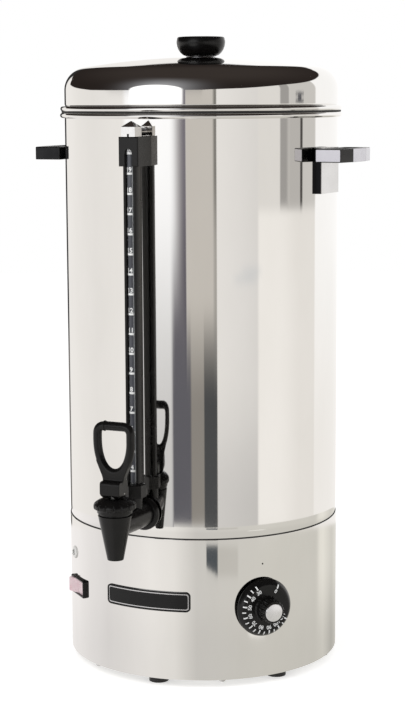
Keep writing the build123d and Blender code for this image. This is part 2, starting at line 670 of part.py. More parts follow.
def power_rocker():
    """Rocker in its off position: tipped, with its far end standing proud."""
    half = ROCKER[0] / 2
    tilt = radians(ROCKER_THROW / 2)
    rise = half * tan(tilt)
    plan = make_face(Polyline(
        (-half, 0, -2.0), (half, 0, -2.0), (half, 0, ROCKER_RISE + rise), (0, 0, ROCKER_RISE),
        (-half, 0, ROCKER_RISE + rise), close=True))
    rocker = extrude(plan, amount=ROCKER[1] / 2, both=True)
    reach = sqrt((half - 1.0) ** 2 + (ROCKER_RISE + rise) ** 2)
    rocker &= Rot(90, 0, 0) * Cylinder(min(reach, half + RUN), ROCKER[1] + 2)
    rocker += Pos(0, 0, -2.5) * Box(6.0, ROCKER[1] - 2, 5.0)
    rocker = Rot(0, ROCKER_THROW / 2, 0) * rocker
    return on_wall(Pos(0, 0, ROCKER_PIVOT_R) * rocker, SWITCH_Z, SWITCH_AZ)


def pilot_bezel():
    front = SKIRT_R + LAMP_PROUD
    ring = turned_polygon(
        (0, SKIRT_R - 1), (LAMP_BEZEL_R, SKIRT_R - 1), (LAMP_BEZEL_R, SKIRT_R + 0.6),
        (LAMP_BEZEL_R - 0.9, front), (0, front))
    ring = on_wall(ring, LAMP_Z, LAMP_AZ) - rod(SKIRT_R, 0, SEAM_Z)
    ring += on_wall(rod(LAMP_R - 0.5, SKIRT_IN_R - LAMP_BODY, front - 1), LAMP_Z, LAMP_AZ)
    return ring - on_wall(rod(LAMP_R - 1.5, SKIRT_IN_R - 4, front + 9), LAMP_Z, LAMP_AZ)


def pilot_lens():
    low = SKIRT_IN_R - 3.9
    front = SKIRT_R + LAMP_PROUD
    radius = LAMP_R - 1.5 - PIVOT
    lens = rod(radius, low, front + 1.4)
    return on_wall(fillet(lens.edges().group_by(Axis.Z)[-1], 1.3), LAMP_Z, LAMP_AZ)


def wall_patch(width, height, corner, z, inner, outer):
    """Rounded rectangle bent round the skirt, centred under the tap, between two radii."""
    outline = RectangleRounded(width, height, corner)
    tool = Pos(0, 0, inner / 2) * extrude(outline, inner)
    return on_wall(tool, z) & pipe(outer, inner, 0, SEAM_Z)


def badge_plate():
    face = SKIRT_R + BADGE_THICK
    chord = 2 * SKIRT_R * sin(BADGE[0] / SKIRT_R / 2)
    plate = wall_patch(chord, BADGE[1], BADGE_CORNER, BADGE_Z, SKIRT_R, face)
    rim = wall_patch(chord, BADGE[1], BADGE_CORNER, BADGE_Z, face, face + BADGE_RIM_PROUD)
    inner = (chord - 2 * BADGE_RIM, BADGE[1] - 2 * BADGE_RIM, BADGE_CORNER - BADGE_RIM)
    rim -= wall_patch(*inner, BADGE_Z, face - 1, face + 1)
    return plate + rim


# ---- mains entry
def cable_gland():
    front = SKIRT_R + 5
    gland = hexagon(GLAND_FLATS, SKIRT_R - 2, front, turn=30)
    gland = on_wall(gland, GLAND_Z, GLAND_AZ) - rod(SKIRT_R, 0, SEAM_Z)
    dome = turned_polygon(
        (0, front), (GLAND_R + 1.2, front), (GLAND_R + 1.2, front + 6), (GLAND_R - 1.5, front + 11), (0, front + 11))
    gland += on_wall(dome, GLAND_Z, GLAND_AZ)
    gland += on_wall(rod(GLAND_R, SKIRT_IN_R - 11, front), GLAND_Z, GLAND_AZ)
    return gland - on_wall(rod(GLAND_BORE_R, SKIRT_IN_R - 12, front + 12), GLAND_Z, GLAND_AZ)


def gland_nut():
    back = sqrt(SKIRT_IN_R**2 - (GLAND_FLATS / 2) ** 2) - FIT
    nut = hexagon(GLAND_FLATS, back - 4.5, back, turn=30) - rod(GLAND_R + PIVOT, back - 6, back + 1)
    return on_wall(nut, GLAND_Z, GLAND_AZ)


def terminal_block():
    width, depth, height = TERMINAL_BLOCK
    block = slab(width, depth, PLATE_TOP, PLATE_TOP + height)
    block = fillet(block.edges().filter_by(Axis.Z), 1.5)
    for x in (-14, 0, 14):
        block -= Pos(x, 0, 0) * rod(3.0, PLATE_TOP + height - 7, PLATE_TOP + height + 1)
        block -= Pos(x, 0, PLATE_TOP + height / 2 - 2) * Rot(90, 0, 0) * Cylinder(2.6, depth + 2)
    return Pos(0, TERMINAL_Y, 0) * block


# ---- handles
def handle_bottom():
    return HANDLE_TOP - HANDLE_HEIGHT


def handle_outline(inset_side=0.0, inset_face=0.0):
    """Plan of the handle's outside, radius along -Y."""
    half, face_half = HANDLE_HALF - inset_side, HANDLE_FACE_HALF
    side, face = HANDLE_SIDE_R - inset_side, HANDLE_FACE_R - inset_face
    return make_face(Polyline(
        (-half, -HANDLE_ROOT_R), (-half, -side), (-face_half, -face), (face_half, -face),
        (half, -side), (half, -HANDLE_ROOT_R), close=True))


def handle_inlays():
    """Polished plates let into the outer faces of the handle's arms and grip bar."""
    low, high = handle_bottom() + INLAY_MARGIN, HANDLE_TOP - INLAY_MARGIN
    arm_length = HANDLE_SIDE_R - HANDLE_ROOT_R - 2 * INLAY_MARGIN
    arm_y = -HANDLE_ROOT_R - INLAY_MARGIN - arm_length / 2
    arm = Pos(HANDLE_HALF - INLAY_THICK / 2, arm_y, low) * Box(INLAY_THICK, arm_length, high - low, align=UP)
    face_width = 2 * HANDLE_FACE_HALF - 2 * INLAY_MARGIN
    face = Pos(0, -HANDLE_FACE_R + INLAY_THICK / 2, low) * Box(face_width, INLAY_THICK, high - low, align=UP)
    return [arm, mirror(arm, Plane.YZ), face]


def handle_loop():
    """Moulded loop: back bar, two arms and a grip bar, with a gap for the fingers."""
    low = handle_bottom()
    loop = Pos(0, 0, low) * extrude(handle_outline(), HANDLE_HEIGHT)
    gap_low, gap_high = HANDLE_ROOT_R + HANDLE_BACK, HANDLE_FACE_R - HANDLE_GRIP
    gap = Pos(0, -(gap_low + gap_high) / 2, low - 1) * Box(
        2 * (HANDLE_HALF - HANDLE_ARM), gap_high - gap_low, HANDLE_HEIGHT + 2, align=UP)
    gap = fillet(gap.edges().filter_by(Axis.Z), HANDLE_GAP_CORNER)
    loop -= gap
    rims = loop.faces().sort_by(Axis.Z)
    loop = fillet(rims[-1].edges() + rims[0].edges(), 0.9)
    for inlay in handle_inlays():
        loop -= inlay
    for x in (-HANDLE_SCREW_X, HANDLE_SCREW_X):
        loop -= Pos(x, 0, handle_middle()) * outward(rod(HANDLE_SCREW_R + FIT, HANDLE_ROOT_R - 1, gap_low + 1))
    return loop


def handle_middle():
    return HANDLE_TOP - HANDLE_HEIGHT / 2


def handle_bracket():
    """Pressed pan welded to the tank, with its face at the handle's back."""
    height = HANDLE_TOP - BRACKET_BOTTOM
    pan = Pos(0, -HANDLE_ROOT_R / 2, BRACKET_BOTTOM) * Box(2 * BRACKET_HALF, HANDLE_ROOT_R, height, align=UP)
    front = pan.faces().sort_by(Axis.Y)[0]
    pan = fillet(front.edges().filter_by(Axis.Z), 1.6)
    hollow = Pos(0, -(HANDLE_ROOT_R - BRACKET_SHEET) / 2, BRACKET_BOTTOM + BRACKET_SHEET) * Box(
        2 * (BRACKET_HALF - BRACKET_SHEET), HANDLE_ROOT_R - BRACKET_SHEET, height - 2 * BRACKET_SHEET, align=UP)
    pan -= rod(TANK_R, BRACKET_BOTTOM - 1, HANDLE_TOP + 1)
    pan -= hollow
    for x in (-HANDLE_SCREW_X, HANDLE_SCREW_X):
        pan -= Pos(x, 0, handle_middle()) * outward(rod(HANDLE_SCREW_R + FIT, TANK_R, HANDLE_ROOT_R + 1))
    return pan


def handle_screws():
    seat = HANDLE_ROOT_R + HANDLE_BACK
    head = rod(HANDLE_SCREW_HEAD_R, seat, seat + HANDLE_SCREW_HEAD)
    head = fillet(head.edges().group_by(Axis.Z)[-1], 1.2)
    screw = head + rod(HANDLE_SCREW_R, TANK_R + 0.6, seat + 1)
    return [Pos(x, 0, handle_middle()) * outward(screw) for x in (-HANDLE_SCREW_X, HANDLE_SCREW_X)]


# ---- tap
def at_spout(shape):
    """Moves a shape from the Z axis to the spout's axis."""
    return Pos(0, -SPOUT_R, 0) * shape


def at_gauge(shape):
    """Moves a shape from the Z axis to the sight tube's axis."""
    return Pos(0, -GAUGE_R, 0) * shape


SHANK_SEAL_FACE = TANK_R + SHANK_SEAL
TAP_FLANGE_FACE = SHANK_SEAL_FACE + TAP_FLANGE


def shank_seal():
    washer = rod(SHANK_SEAL_R, TANK_R - 3, SHANK_SEAL_FACE) - rod(SHANK_R + PIVOT, TANK_R - 4, SHANK_SEAL_FACE + 1)
    return on_wall(washer, TAP_Z) - rod(TANK_R, 0, RIM_Z)


def shank_inner_seal():
    back = sqrt(TANK_IN_R**2 - SHANK_SEAL_R**2) - SHANK_SEAL
    washer = rod(SHANK_SEAL_R, back, TANK_R) - rod(SHANK_R + PIVOT, back - 1, TANK_R + 1)
    return on_wall(washer, TAP_Z) & rod(TANK_IN_R, 0, RIM_Z)


def shank_nut():
    front = sqrt(TANK_IN_R**2 - SHANK_SEAL_R**2) - SHANK_SEAL
    nut = hexagon(SHANK_NUT_FLATS, front - SHANK_NUT, front) - rod(SHANK_R + PIVOT, front - 9, front + 1)
    return on_wall(nut, TAP_Z)


def tap_body():
    shank = rod(SHANK_R, TANK_IN_R - SHANK_INSIDE, TAP_FLANGE_FACE)
    flange = turned(
        Line((0, 0, SHANK_SEAL_FACE), (TAP_FLANGE_R, 0, SHANK_SEAL_FACE)),
        Line((TAP_FLANGE_R, 0, SHANK_SEAL_FACE), (TAP_FLANGE_R, 0, SHANK_SEAL_FACE + 2)),
        ThreePointArc((TAP_FLANGE_R, 0, SHANK_SEAL_FACE + 2), (TAP_FLANGE_R - 1.2, 0, TAP_FLANGE_FACE - 0.9),
                      (BARREL_R, 0, TAP_FLANGE_FACE)),
        Line((BARREL_R, 0, TAP_FLANGE_FACE), (0, 0, TAP_FLANGE_FACE)),
        Line((0, 0, TAP_FLANGE_FACE), (0, 0, SHANK_SEAL_FACE)),
    )
    barrel = turned_polygon((0, TAP_FLANGE_FACE), (BARREL_R, TAP_FLANGE_FACE), (BARREL_R - 1.4, SPOUT_R), (0, SPOUT_R))
    body = on_wall(shank + flange + barrel, TAP_Z)
    body += at_spout(turned_polygon(
        (0, SPOUT_TIP_Z), (SPOUT_TIP_R, SPOUT_TIP_Z), (SPOUT_TOP_R, SPOUT_TOP_Z),
        (NECK_R, SPOUT_TOP_Z + 0.6), (NECK_R, NECK_TOP_Z), (0, NECK_TOP_Z)))
    body += at_gauge(rod(BOSS_R, TAP_Z, BOSS_TOP))
    body -= at_spout(rod(CHAMBER_R, SEAT_Z, NECK_TOP_Z + 1))
    body -= at_spout(rod(SPOUT_BORE_R, SPOUT_TIP_Z - 1, SEAT_Z + 1))
    body -= on_wall(rod(SHANK_BORE_R, TANK_IN_R - SHANK_INSIDE - 1, SPOUT_R), TAP_Z)
    body -= at_gauge(rod(TUBE_R + PIVOT, BOSS_TOP - BOSS_SOCKET, BOSS_TOP + 1))
    body -= at_gauge(rod(TUBE_R - TUBE_WALL, TAP_Z, BOSS_TOP))
    return body


def tap_bonnet():
    low, high = BONNET_KNURL
    bonnet = turned_polygon(
        (0, BONNET_BOTTOM), (BONNET_BAND_R, BONNET_BOTTOM), (BONNET_BAND_R, low - 0.6), (BONNET_KNURL_R - 0.6, low),
        (BONNET_KNURL_R, low + 0.6), (BONNET_KNURL_R, high - 2.0), (BONNET_KNURL_R - 1.4, high),
        (BONNET_TOP_R + 0.8, BONNET_TOP - 0.3), (BONNET_TOP_R, BONNET_TOP), (0, BONNET_TOP))
    flute = Pos(0, -(BONNET_KNURL_R + 0.7), 0) * rod(1.5, low - 1, high + 1)
    for cut in each_azimuth(flute, BONNET_FLUTES):
        bonnet -= cut
    bonnet -= rod(NECK_R + PIVOT, BONNET_BOTTOM - 1, NECK_TOP_Z)
    bonnet -= rod(CHAMBER_R, NECK_TOP_Z - 1, BONNET_TOP - BONNET_ROOF)
    return at_spout(bonnet - rod(STEM_R + PIVOT, BONNET_BOTTOM, BONNET_TOP + 1))


CUP_BOTTOM = SEAT_Z + RUN
COLLAR_LOW = CUP_BOTTOM + CUP_HEIGHT


def seat_cup():
    """Silicone cup that closes on the seat ring."""
    low, high = CUP_BOTTOM, COLLAR_LOW
    cup = turned(
        Line((0, 0, low + 1.5), (SPOUT_BORE_R - 0.6, 0, low + 1.5)),
        Line((SPOUT_BORE_R - 0.6, 0, low + 1.5), (SPOUT_BORE_R + 0.6, 0, low)),
        Line((SPOUT_BORE_R + 0.6, 0, low), (CUP_R - 0.8, 0, low)),
        ThreePointArc((CUP_R - 0.8, 0, low), (CUP_R, 0, low + 3.5), (STEM_R + 2.4, 0, high)),
        Line((STEM_R + 2.4, 0, high), (0, 0, high)),
        Line((0, 0, high), (0, 0, low + 1.5)),
    )
    return at_spout(cup - rod(STEM_R - 1 + PIVOT, low + 3.5, high + 1))


def tap_stem():
    stem = rod(STEM_R - 1, CUP_BOTTOM + 3.6, COLLAR_LOW + 1)
    stem += rod(SPRING_COLLAR_R, COLLAR_LOW, COLLAR_LOW + SPRING_COLLAR)
    shoulder = BONNET_TOP - STEM_LIFT - 2 * RUN
    stem += rod(STEM_R, COLLAR_LOW + 1, shoulder)
    tang = slab(STEM_TANG, 2 * STEM_R, shoulder - 1, LEVER_PIN_Z)
    tang += Pos(0, 0, LEVER_PIN_Z) * Rot(0, 90, 0) * Cylinder(STEM_R, STEM_TANG)
    stem += tang & rod(STEM_R, shoulder - 1, LEVER_PIN_Z + STEM_R + 1)
    return at_spout(stem - Pos(0, 0, LEVER_PIN_Z) * Rot(0, 90, 0) * Cylinder(LEVER_PIN_R + PIVOT, 20))


SPRING_LOW = COLLAR_LOW + SPRING_COLLAR + SPRING_WIRE_R + 0.1
SPRING_HIGH = BONNET_TOP - BONNET_ROOF - SPRING_WIRE_R - 0.1


def tap_spring():
    """Coil spring of hexagonal wire, which has few faces."""
    height = SPRING_HIGH - SPRING_LOW
    coil = Helix(pitch=height / SPRING_TURNS, height=height, radius=SPRING_MEAN_R)
    path = Pos(0, 0, SPRING_LOW) * coil
    start = Plane(origin=path @ 0, z_dir=path % 0)
    wire = RegularPolygon(1.1 * SPRING_WIRE_R, 6)
    return at_spout(sweep(start * wire, path=path, is_frenet=True))


def lever_pin():
    return at_spout(Pos(0, 0, LEVER_PIN_Z) * Rot(0, 90, 0) * Cylinder(LEVER_PIN_R, 2 * HUB_HALF))


def cam_points():
    """Front of the hub's foot in side view, as (forward, up) from the pin.

    The cam is an involute of a circle whose radius is the stem's lift per radian, so its distance
    to a flat under it grows in step with the lever's angle.
    """
    base = STEM_LIFT / radians(LEVER_THROW)
    foot = LEVER_PIN_Z - BONNET_TOP - RUN
    points = []
    for step in range(7):
        turn = radians(CAM_SWEEP) * step / 6
        reach = foot + base * turn
        points.append((reach * sin(turn) + base * cos(turn), -reach * cos(turn) + base * sin(turn)))
    return points


def lever_hub():
    points = cam_points()
    heel, foot, top = points[-1][0], points[0][1], HUB_TOP - LEVER_PIN_Z
    outline = make_face([
        Spline(*[(0, -forward, up) for forward, up in points]),
        Polyline(
            (0, -heel, points[-1][1]), (0, -heel, top - 2.0), (0, -heel + 2.0, top), (0, HUB_BACK, top),
            (0, HUB_BACK, foot + 2.0), (0, HUB_BACK - 2.0, foot), (0, -points[0][0], foot)),
    ])
    hub = extrude(outline, amount=HUB_HALF, both=True)
    slot_top = STEM_R + 2 * RUN
    return hub - Pos(0, 0, slot_top) * Box(
        STEM_TANG + 2 * RUN, 60, 60, align=(Align.CENTER, Align.CENTER, Align.MAX))


def lever_ring():
    """Loop for a finger: wide and flat on top, narrowing to a rounded foot."""
    top = RING_TOP - LEVER_PIN_Z - RING_BAR
    foot = RING_FOOT_Z - LEVER_PIN_Z
    half = RING_HALF - RING_BAR
    right = [(RING_FOOT_HALF, foot + 6.0), (half, top - 13.0), (half - 2.6, top)]
    left = [(-x, z) for x, z in reversed(right)]
    path = FilletPolyline(
        *[(x, 0, z) for x, z in [(0, foot)] + right + left], radius=[9.0, 6.0, 12.0, 6.0, 6.0, 12.0, 6.0], close=True)
    ring = sweep(Plane(origin=path @ 0, z_dir=path % 0) * Circle(RING_BAR), path=path)
    web = make_face(Polyline(
        (-HUB_HALF, 0, HUB_TOP - LEVER_PIN_Z - 3.0), (HUB_HALF, 0, HUB_TOP - LEVER_PIN_Z - 3.0),
        (HUB_HALF + 2.6, 0, foot - 4.0), (RING_FOOT_HALF + RING_BAR - 1.0, 0, foot + 6.0),
        (RING_FOOT_HALF, 0, foot + 6.0), (0, 0, foot), (-RING_FOOT_HALF, 0, foot + 6.0),
        (-RING_FOOT_HALF - RING_BAR + 1.0, 0, foot + 6.0), (-HUB_HALF - 2.6, 0, foot - 4.0), close=True))
    return ring + extrude(web, amount=RING_BAR, both=True)


def tap_lever():
    lever = lever_hub() + lever_ring()
    lever -= Rot(0, 90, 0) * Cylinder(LEVER_PIN_R + PIVOT, 4 * HUB_HALF)
    return at_spout(Pos(0, 0, LEVER_PIN_Z) * lever)


# ---- sight gauge
def gauge_tube():
    return at_gauge(pipe(TUBE_R, TUBE_R - TUBE_WALL, BOSS_TOP - BOSS_SOCKET, VENT_Z))


def gauge_nut():
    low, high = GAUGE_NUT
    nut = hexagon(GAUGE_NUT_FLATS, low, high, turn=30)
    nut = chamfer(nut.edges().group_by(Axis.Z)[-1], 0.7)
    nut -= rod(BOSS_R + PIVOT, low - 1, high - GAUGE_NUT_ROOF)
    return at_gauge(nut - rod(TUBE_R + FIT, low, high + 1))


def gauge_seals():
    lower = pipe(BOSS_R - 0.2, TUBE_R + PIVOT, BOSS_TOP, GAUGE_NUT[1] - GAUGE_NUT_ROOF)
    upper = pipe(TUBE_R + 1.6, TUBE_R + PIVOT, CLIP_TOP + FIT, CLIP_TOP + 2.6)
    return [at_gauge(lower), at_gauge(upper)]


def gauge_guard():
    low, high = GAUGE_NUT[1] + FIT, CLIP_TOP - CLIP_ROOF - FIT
    back = GUARD_FRONT_R - GUARD_DEPTH
    guard = Pos(0, -(GUARD_FRONT_R + back) / 2, low) * Box(2 * GUARD_HALF, GUARD_DEPTH, high - low, align=UP)
    guard = fillet(guard.edges().filter_by(Axis.Z), 0.8)
    inner = GUARD_HALF - GUARD_LIP
    trough = Pos(0, -(back + GUARD_BACK), low - 1) * Box(
        2 * inner, GUARD_DEPTH + 2, high - low + 2, align=(Align.CENTER, Align.MAX, Align.MIN))
    return guard - trough


CLIP_SCREW_Z = CLIP_BOTTOM + 8.0


def gauge_clip():
    """Block on the tank wall that holds the guard's head and frames the top of the glass."""
    front = GUARD_FRONT_R + FIT + CLIP_FACE
    clip = Pos(0, -front / 2, CLIP_BOTTOM) * Box(2 * CLIP_HALF, front, CLIP_TOP - CLIP_BOTTOM, align=UP)
    clip = fillet(clip.faces().sort_by(Axis.Y)[0].edges(), 1.2)
    back = GUARD_FRONT_R - GUARD_DEPTH - FIT
    pocket = Pos(0, -back, CLIP_BOTTOM - 1) * Box(
        2 * (GUARD_HALF + FIT), GUARD_DEPTH + 2 * FIT, CLIP_TOP - CLIP_ROOF - CLIP_BOTTOM + 1,
        align=(Align.CENTER, Align.MAX, Align.MIN))
    clip -= pocket
    slot_half = GUARD_HALF - GUARD_LIP
    slot = slab(2 * slot_half, 40, CLIP_BOTTOM - 1, CLIP_SLOT_TOP - slot_half)
    slot += Pos(0, 0, CLIP_SLOT_TOP - slot_half) * Rot(90, 0, 0) * Cylinder(slot_half, 40)
    clip -= Pos(0, -front - 15, 0) * slot
    clip -= at_gauge(rod(TUBE_R + FIT, CLIP_BOTTOM, CLIP_TOP + 1))
    clip -= on_wall(rod(CLIP_SCREW_R + PIVOT, 0, TANK_R + 11), CLIP_SCREW_Z)
    return clip - rod(TANK_R, CLIP_BOTTOM - 1, CLIP_TOP + 1)


def clip_screw():
    head = rod(CLIP_SCREW_R + 1.8, TANK_IN_R - 2.6, TANK_IN_R - 0.1)
    return on_wall(head + rod(CLIP_SCREW_R, TANK_IN_R - 1, TANK_R + 9), CLIP_SCREW_Z)


CAP_R = GAUGE_R - CAP_SETBACK


def gauge_cap():
    """Square vent fitting with a hipped top, from the glass back into the tank."""
    low = CLIP_TOP + FIT
    cap = Pos(0, -CAP_R, low) * Box(2 * CAP_HALF, 2 * CAP_HALF, CAP_TOP - low, align=UP)
    base = Pos(0, -CAP_R, CAP_TOP) * Rectangle(2 * CAP_HALF, 2 * CAP_HALF)
    cap += loft([base, Pos(0, -CAP_R, CAP_PEAK) * Rectangle(0.8, 0.8)])
    cap += on_wall(rod(VENT_STUB_R, TANK_IN_R - VENT_STUB_INSIDE, CAP_R), VENT_Z)
    cap -= at_gauge(rod(TUBE_R + FIT, low - 1, VENT_Z + 0.4))
    cap -= at_gauge(rod(TUBE_R + 1.6 + FIT, low - 1, CLIP_TOP + 2.7))
    return cap - on_wall(rod(VENT_BORE_R, 0, GAUGE_R), VENT_Z)


def vent_nut():
    front = sqrt(TANK_IN_R**2 - (VENT_NUT_FLATS / 2 / cos(pi / 6)) ** 2)
    nut = hexagon(VENT_NUT_FLATS, front - VENT_NUT, front) - rod(VENT_STUB_R + PIVOT, front - 9, front + 1)
    return on_wall(nut, VENT_Z)


def build_casing():
    save(tank_wall(), "tank_wall")
    save(tank_floor(), "tank_floor")
    save(base_skirt(), "base_skirt")
    save(base_plate(), "base_plate")
    save(group(rubber_feet()), "rubber_feet")
    save(group(base_plate_screws()), "base_plate_screws")
    save(badge_plate(), "badge_plate")
    save(lid_shell(), "lid_shell")
    save(lid_knob(), "lid_knob")
    save(knob_screw(), "knob_screw")


def build_electrics():
    save(heating_element(), "heating_element")
    save(group(element_fittings()), "element_fittings")
    save(group(element_seals()), "element_seals")
    save(group(element_nuts()), "element_nuts")
    save(thermostat_body(), "thermostat_body")
    save(thermostat_nut(), "thermostat_nut")
    save(thermostat_bulb(), "thermostat_bulb")
    save(group(bulb_clips()), "bulb_clips")
    save(capillary_tube(), "capillary_tube")
    save(boil_dry_cutout(), "boil_dry_cutout")
    save(terminal_block(), "terminal_block")
    save(cable_gland(), "cable_gland")
    save(gland_nut(), "gland_nut")
    save(switch_housing(), "switch_housing")
    save(power_rocker(), "power_rocker")
    save(pilot_bezel(), "pilot_bezel")
    save(pilot_lens(), "pilot_lens")
    save(thermostat_spindle(), "thermostat_spindle")
    save(dial_knob(), "dial_knob")
    save(dial_cap(), "dial_cap")


def build_handles():
    for side, azimuth in (("right", HANDLE_AZ), ("left", -HANDLE_AZ)):
        save(around(handle_bracket(), azimuth), f"handle_bracket_{side}")
        save(around(handle_loop(), azimuth), f"handle_loop_{side}")
        save(group([around(inlay, azimuth) for inlay in handle_inlays()]), f"handle_inlays_{side}")
        save(group([around(screw, azimuth) for screw in handle_screws()]), f"handle_screws_{side}")


def build_tap():
    save(tap_body(), "tap_body")
    save(shank_seal(), "shank_seal")
    save(shank_inner_seal(), "shank_inner_seal")
    save(shank_nut(), "shank_nut")
    save(tap_bonnet(), "tap_bonnet")
    save(seat_cup(), "seat_cup")
    save(tap_stem(), "tap_stem")
    save(tap_spring(), "tap_spring")
    save(tap_lever(), "tap_lever")
    save(lever_pin(), "lever_pin")


def build_gauge():
    save(gauge_tube(), "gauge_tube")
    save(gauge_nut(), "gauge_nut")
    save(group(gauge_seals()), "gauge_seals")
    save(gauge_guard(), "gauge_guard")
    save(gauge_clip(), "gauge_clip")
    save(clip_screw(), "clip_screw")
    save(gauge_cap(), "gauge_cap")
    save(vent_nut(), "vent_nut")


os.makedirs("parts", exist_ok=True)
build_casing()
build_electrics()
build_handles()
build_tap()
build_gauge()
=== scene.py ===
"""Looks of the hot water urn: polished steel, black mouldings, gauge scale, dial figures and studio.

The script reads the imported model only. Sizes below are in millimetres unless a name says otherwise,
and azimuths are measured from the tap, positive towards +X, as in the part's source.
"""
import bpy
import bmesh
import json
import numpy as np
from math import acos, atan2, cos, degrees, pi, radians, sin, tan
from mathutils import Matrix, Vector


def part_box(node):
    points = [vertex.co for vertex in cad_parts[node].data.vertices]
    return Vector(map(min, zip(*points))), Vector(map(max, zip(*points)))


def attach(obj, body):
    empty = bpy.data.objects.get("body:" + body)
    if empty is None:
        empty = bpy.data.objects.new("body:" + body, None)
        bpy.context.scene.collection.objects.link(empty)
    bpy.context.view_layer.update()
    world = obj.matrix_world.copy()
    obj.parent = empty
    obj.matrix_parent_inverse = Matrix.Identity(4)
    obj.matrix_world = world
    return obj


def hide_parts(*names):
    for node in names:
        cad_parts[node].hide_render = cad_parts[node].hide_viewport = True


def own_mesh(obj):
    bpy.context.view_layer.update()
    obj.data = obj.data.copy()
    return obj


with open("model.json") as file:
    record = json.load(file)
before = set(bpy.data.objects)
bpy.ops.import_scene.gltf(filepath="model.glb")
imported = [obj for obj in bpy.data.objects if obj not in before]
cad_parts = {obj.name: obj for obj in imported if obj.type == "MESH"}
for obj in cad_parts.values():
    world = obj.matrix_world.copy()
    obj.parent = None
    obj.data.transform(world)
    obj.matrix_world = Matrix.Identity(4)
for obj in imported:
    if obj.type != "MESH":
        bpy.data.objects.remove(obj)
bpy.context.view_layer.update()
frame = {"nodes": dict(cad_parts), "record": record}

MM = 0.001
TANK_R, TANK_IN_R = 135.0, 134.2
SKIRT_R, SEAM_Z = 135.4, 146.5
LAP_R, LAP_BOTTOM, SWAGE_TOP = 134.5, 132.5, 158.5
RIM_Z, RIM_BEAD, RIM_CURL_R = 545.35, 2.65, 136.85
LID_LIP_R, LID_LIP_Z = 133.9, 542.3
LID_BEAD_Z, LID_BEAD_R, LID_BEAD = 551.65, 136.5, 2.65
LID_FLARE_Z, LID_GROOVE_TOP, LID_SHOULDER_Z = 553.55, 555.8, 569.5
LID_SHOULDER_R, LID_SLOPE = 22.0, radians(9.8)
SHEET = 0.8
GAUGE_Y, TUBE_R = -157.5, 3.5
SCALE_ZERO, LITRE = 142.09, 18.5035
DIAL_AZ, DIAL_Z = radians(49.0), 78.0
DIAL_BACK_AT, DIAL_FACE_AT, DIAL_TOP_AT = 137.4, 145.2, 160.0
DIAL_R, DIAL_FACE_R, DIAL_GRIP_R, DIAL_CAP_R = 28.0, 25.0, 11.0, 8.8
SPOUT_Y, PIN_Z = -197.5, 204.0
HUB_HALF, HUB_BACK, HUB_TOP = 10.1, 7.3, 10.5
STEM_LIFT = 3.2
LIFT_PER_RADIAN = STEM_LIFT / radians(40.0)
BAR_Z, BAR_R = 265.0, 4.1
BONNET_BOTTOM, BONNET_TOP = 184.5, 198.0
GUARD_HALF, GUARD_BACK_HALF, GUARD_LIP, GUARD_SHEET = 6.4, 7.0, 2.8, 1.2
GUARD_ENDS = ((203.8, 11.5), (525.1, 13.1))
BADGE_Z, BADGE_FACE_R = 85.5, 136.2
BADGE_LINE, BADGE_LINE_WIDE = (86.4, 15.8), 0.85
SKIRT_BOTTOM, SKIRT_FOLD = 8.0, 8.4
KNOB_TOP = 621.1
SPRING_WIRE, SPRING_R, SPRING_TURNS = 0.6, 5.8, 7


# ---------------- meshes
def mesh_object(name, verts, faces, smooth=35.0):
    """Object from points in millimetres, shaded smooth except over sharp edges."""
    mesh = bpy.data.meshes.new(name)
    mesh.from_pydata([Vector(v) * MM for v in verts], [], faces)
    mesh.polygons.foreach_set("use_smooth", [True] * len(mesh.polygons))
    mesh.set_sharp_from_angle(angle=radians(smooth))
    obj = bpy.data.objects.new(name, mesh)
    bpy.context.scene.collection.objects.link(obj)
    return obj


def upright(radius, turn, height):
    return radius * sin(turn), -radius * cos(turn), height


def lathe(name, outline, steps=288, place=upright):
    """Closed turned shell. The outline is a list of (radius, height); a radius of 0 is a pole."""
    verts, rings = [], []
    for radius, height in outline:
        if radius < 1e-6:
            rings.append([len(verts)] * steps)
            verts.append(place(0, 0, height))
            continue
        rings.append(list(range(len(verts), len(verts) + steps)))
        verts += [place(radius, 2 * pi * k / steps, height) for k in range(steps)]
    faces = []
    for low, high in zip(rings, rings[1:] + rings[:1]):
        for k in range(steps):
            n = (k + 1) % steps
            corners = [low[k], low[n], high[n], high[k]]
            corners = [c for i, c in enumerate(corners) if c != corners[i - 1]]
            if len(corners) > 2:
                faces.append(corners)
    return mesh_object(name, verts, faces)


def arc(centre, radius, start, end, steps):
    """Points of an arc in the (radius, height) plane, angles in degrees from the outward direction."""
    return [(centre[0] + radius * cos(radians(a)), centre[1] + radius * sin(radians(a)))
            for a in np.linspace(start, end, steps)]


def wall_point(azimuth, radius, along, up):
    """Point at a place on the urn's wall: out by radius, along the tangent, up by height."""
    return (radius * sin(azimuth) + along * cos(azimuth), -radius * cos(azimuth) + along * sin(azimuth), up)


def loft(rings, closed=False):
    """Skin through rings of equal counts, as (points, faces), with flat ends unless it closes on itself."""
    count = len(rings[0])
    points = [tuple(p) for ring in rings for p in ring]
    last = len(rings) if closed else len(rings) - 1
    faces = [(j * count + i, j * count + (i + 1) % count, (j + 1) % len(rings) * count + (i + 1) % count,
              (j + 1) % len(rings) * count + i) for j in range(last) for i in range(count)]
    if not closed:
        faces += [tuple(range(count))[::-1], tuple(range(count * (len(rings) - 1), count * len(rings)))]
    return points, faces


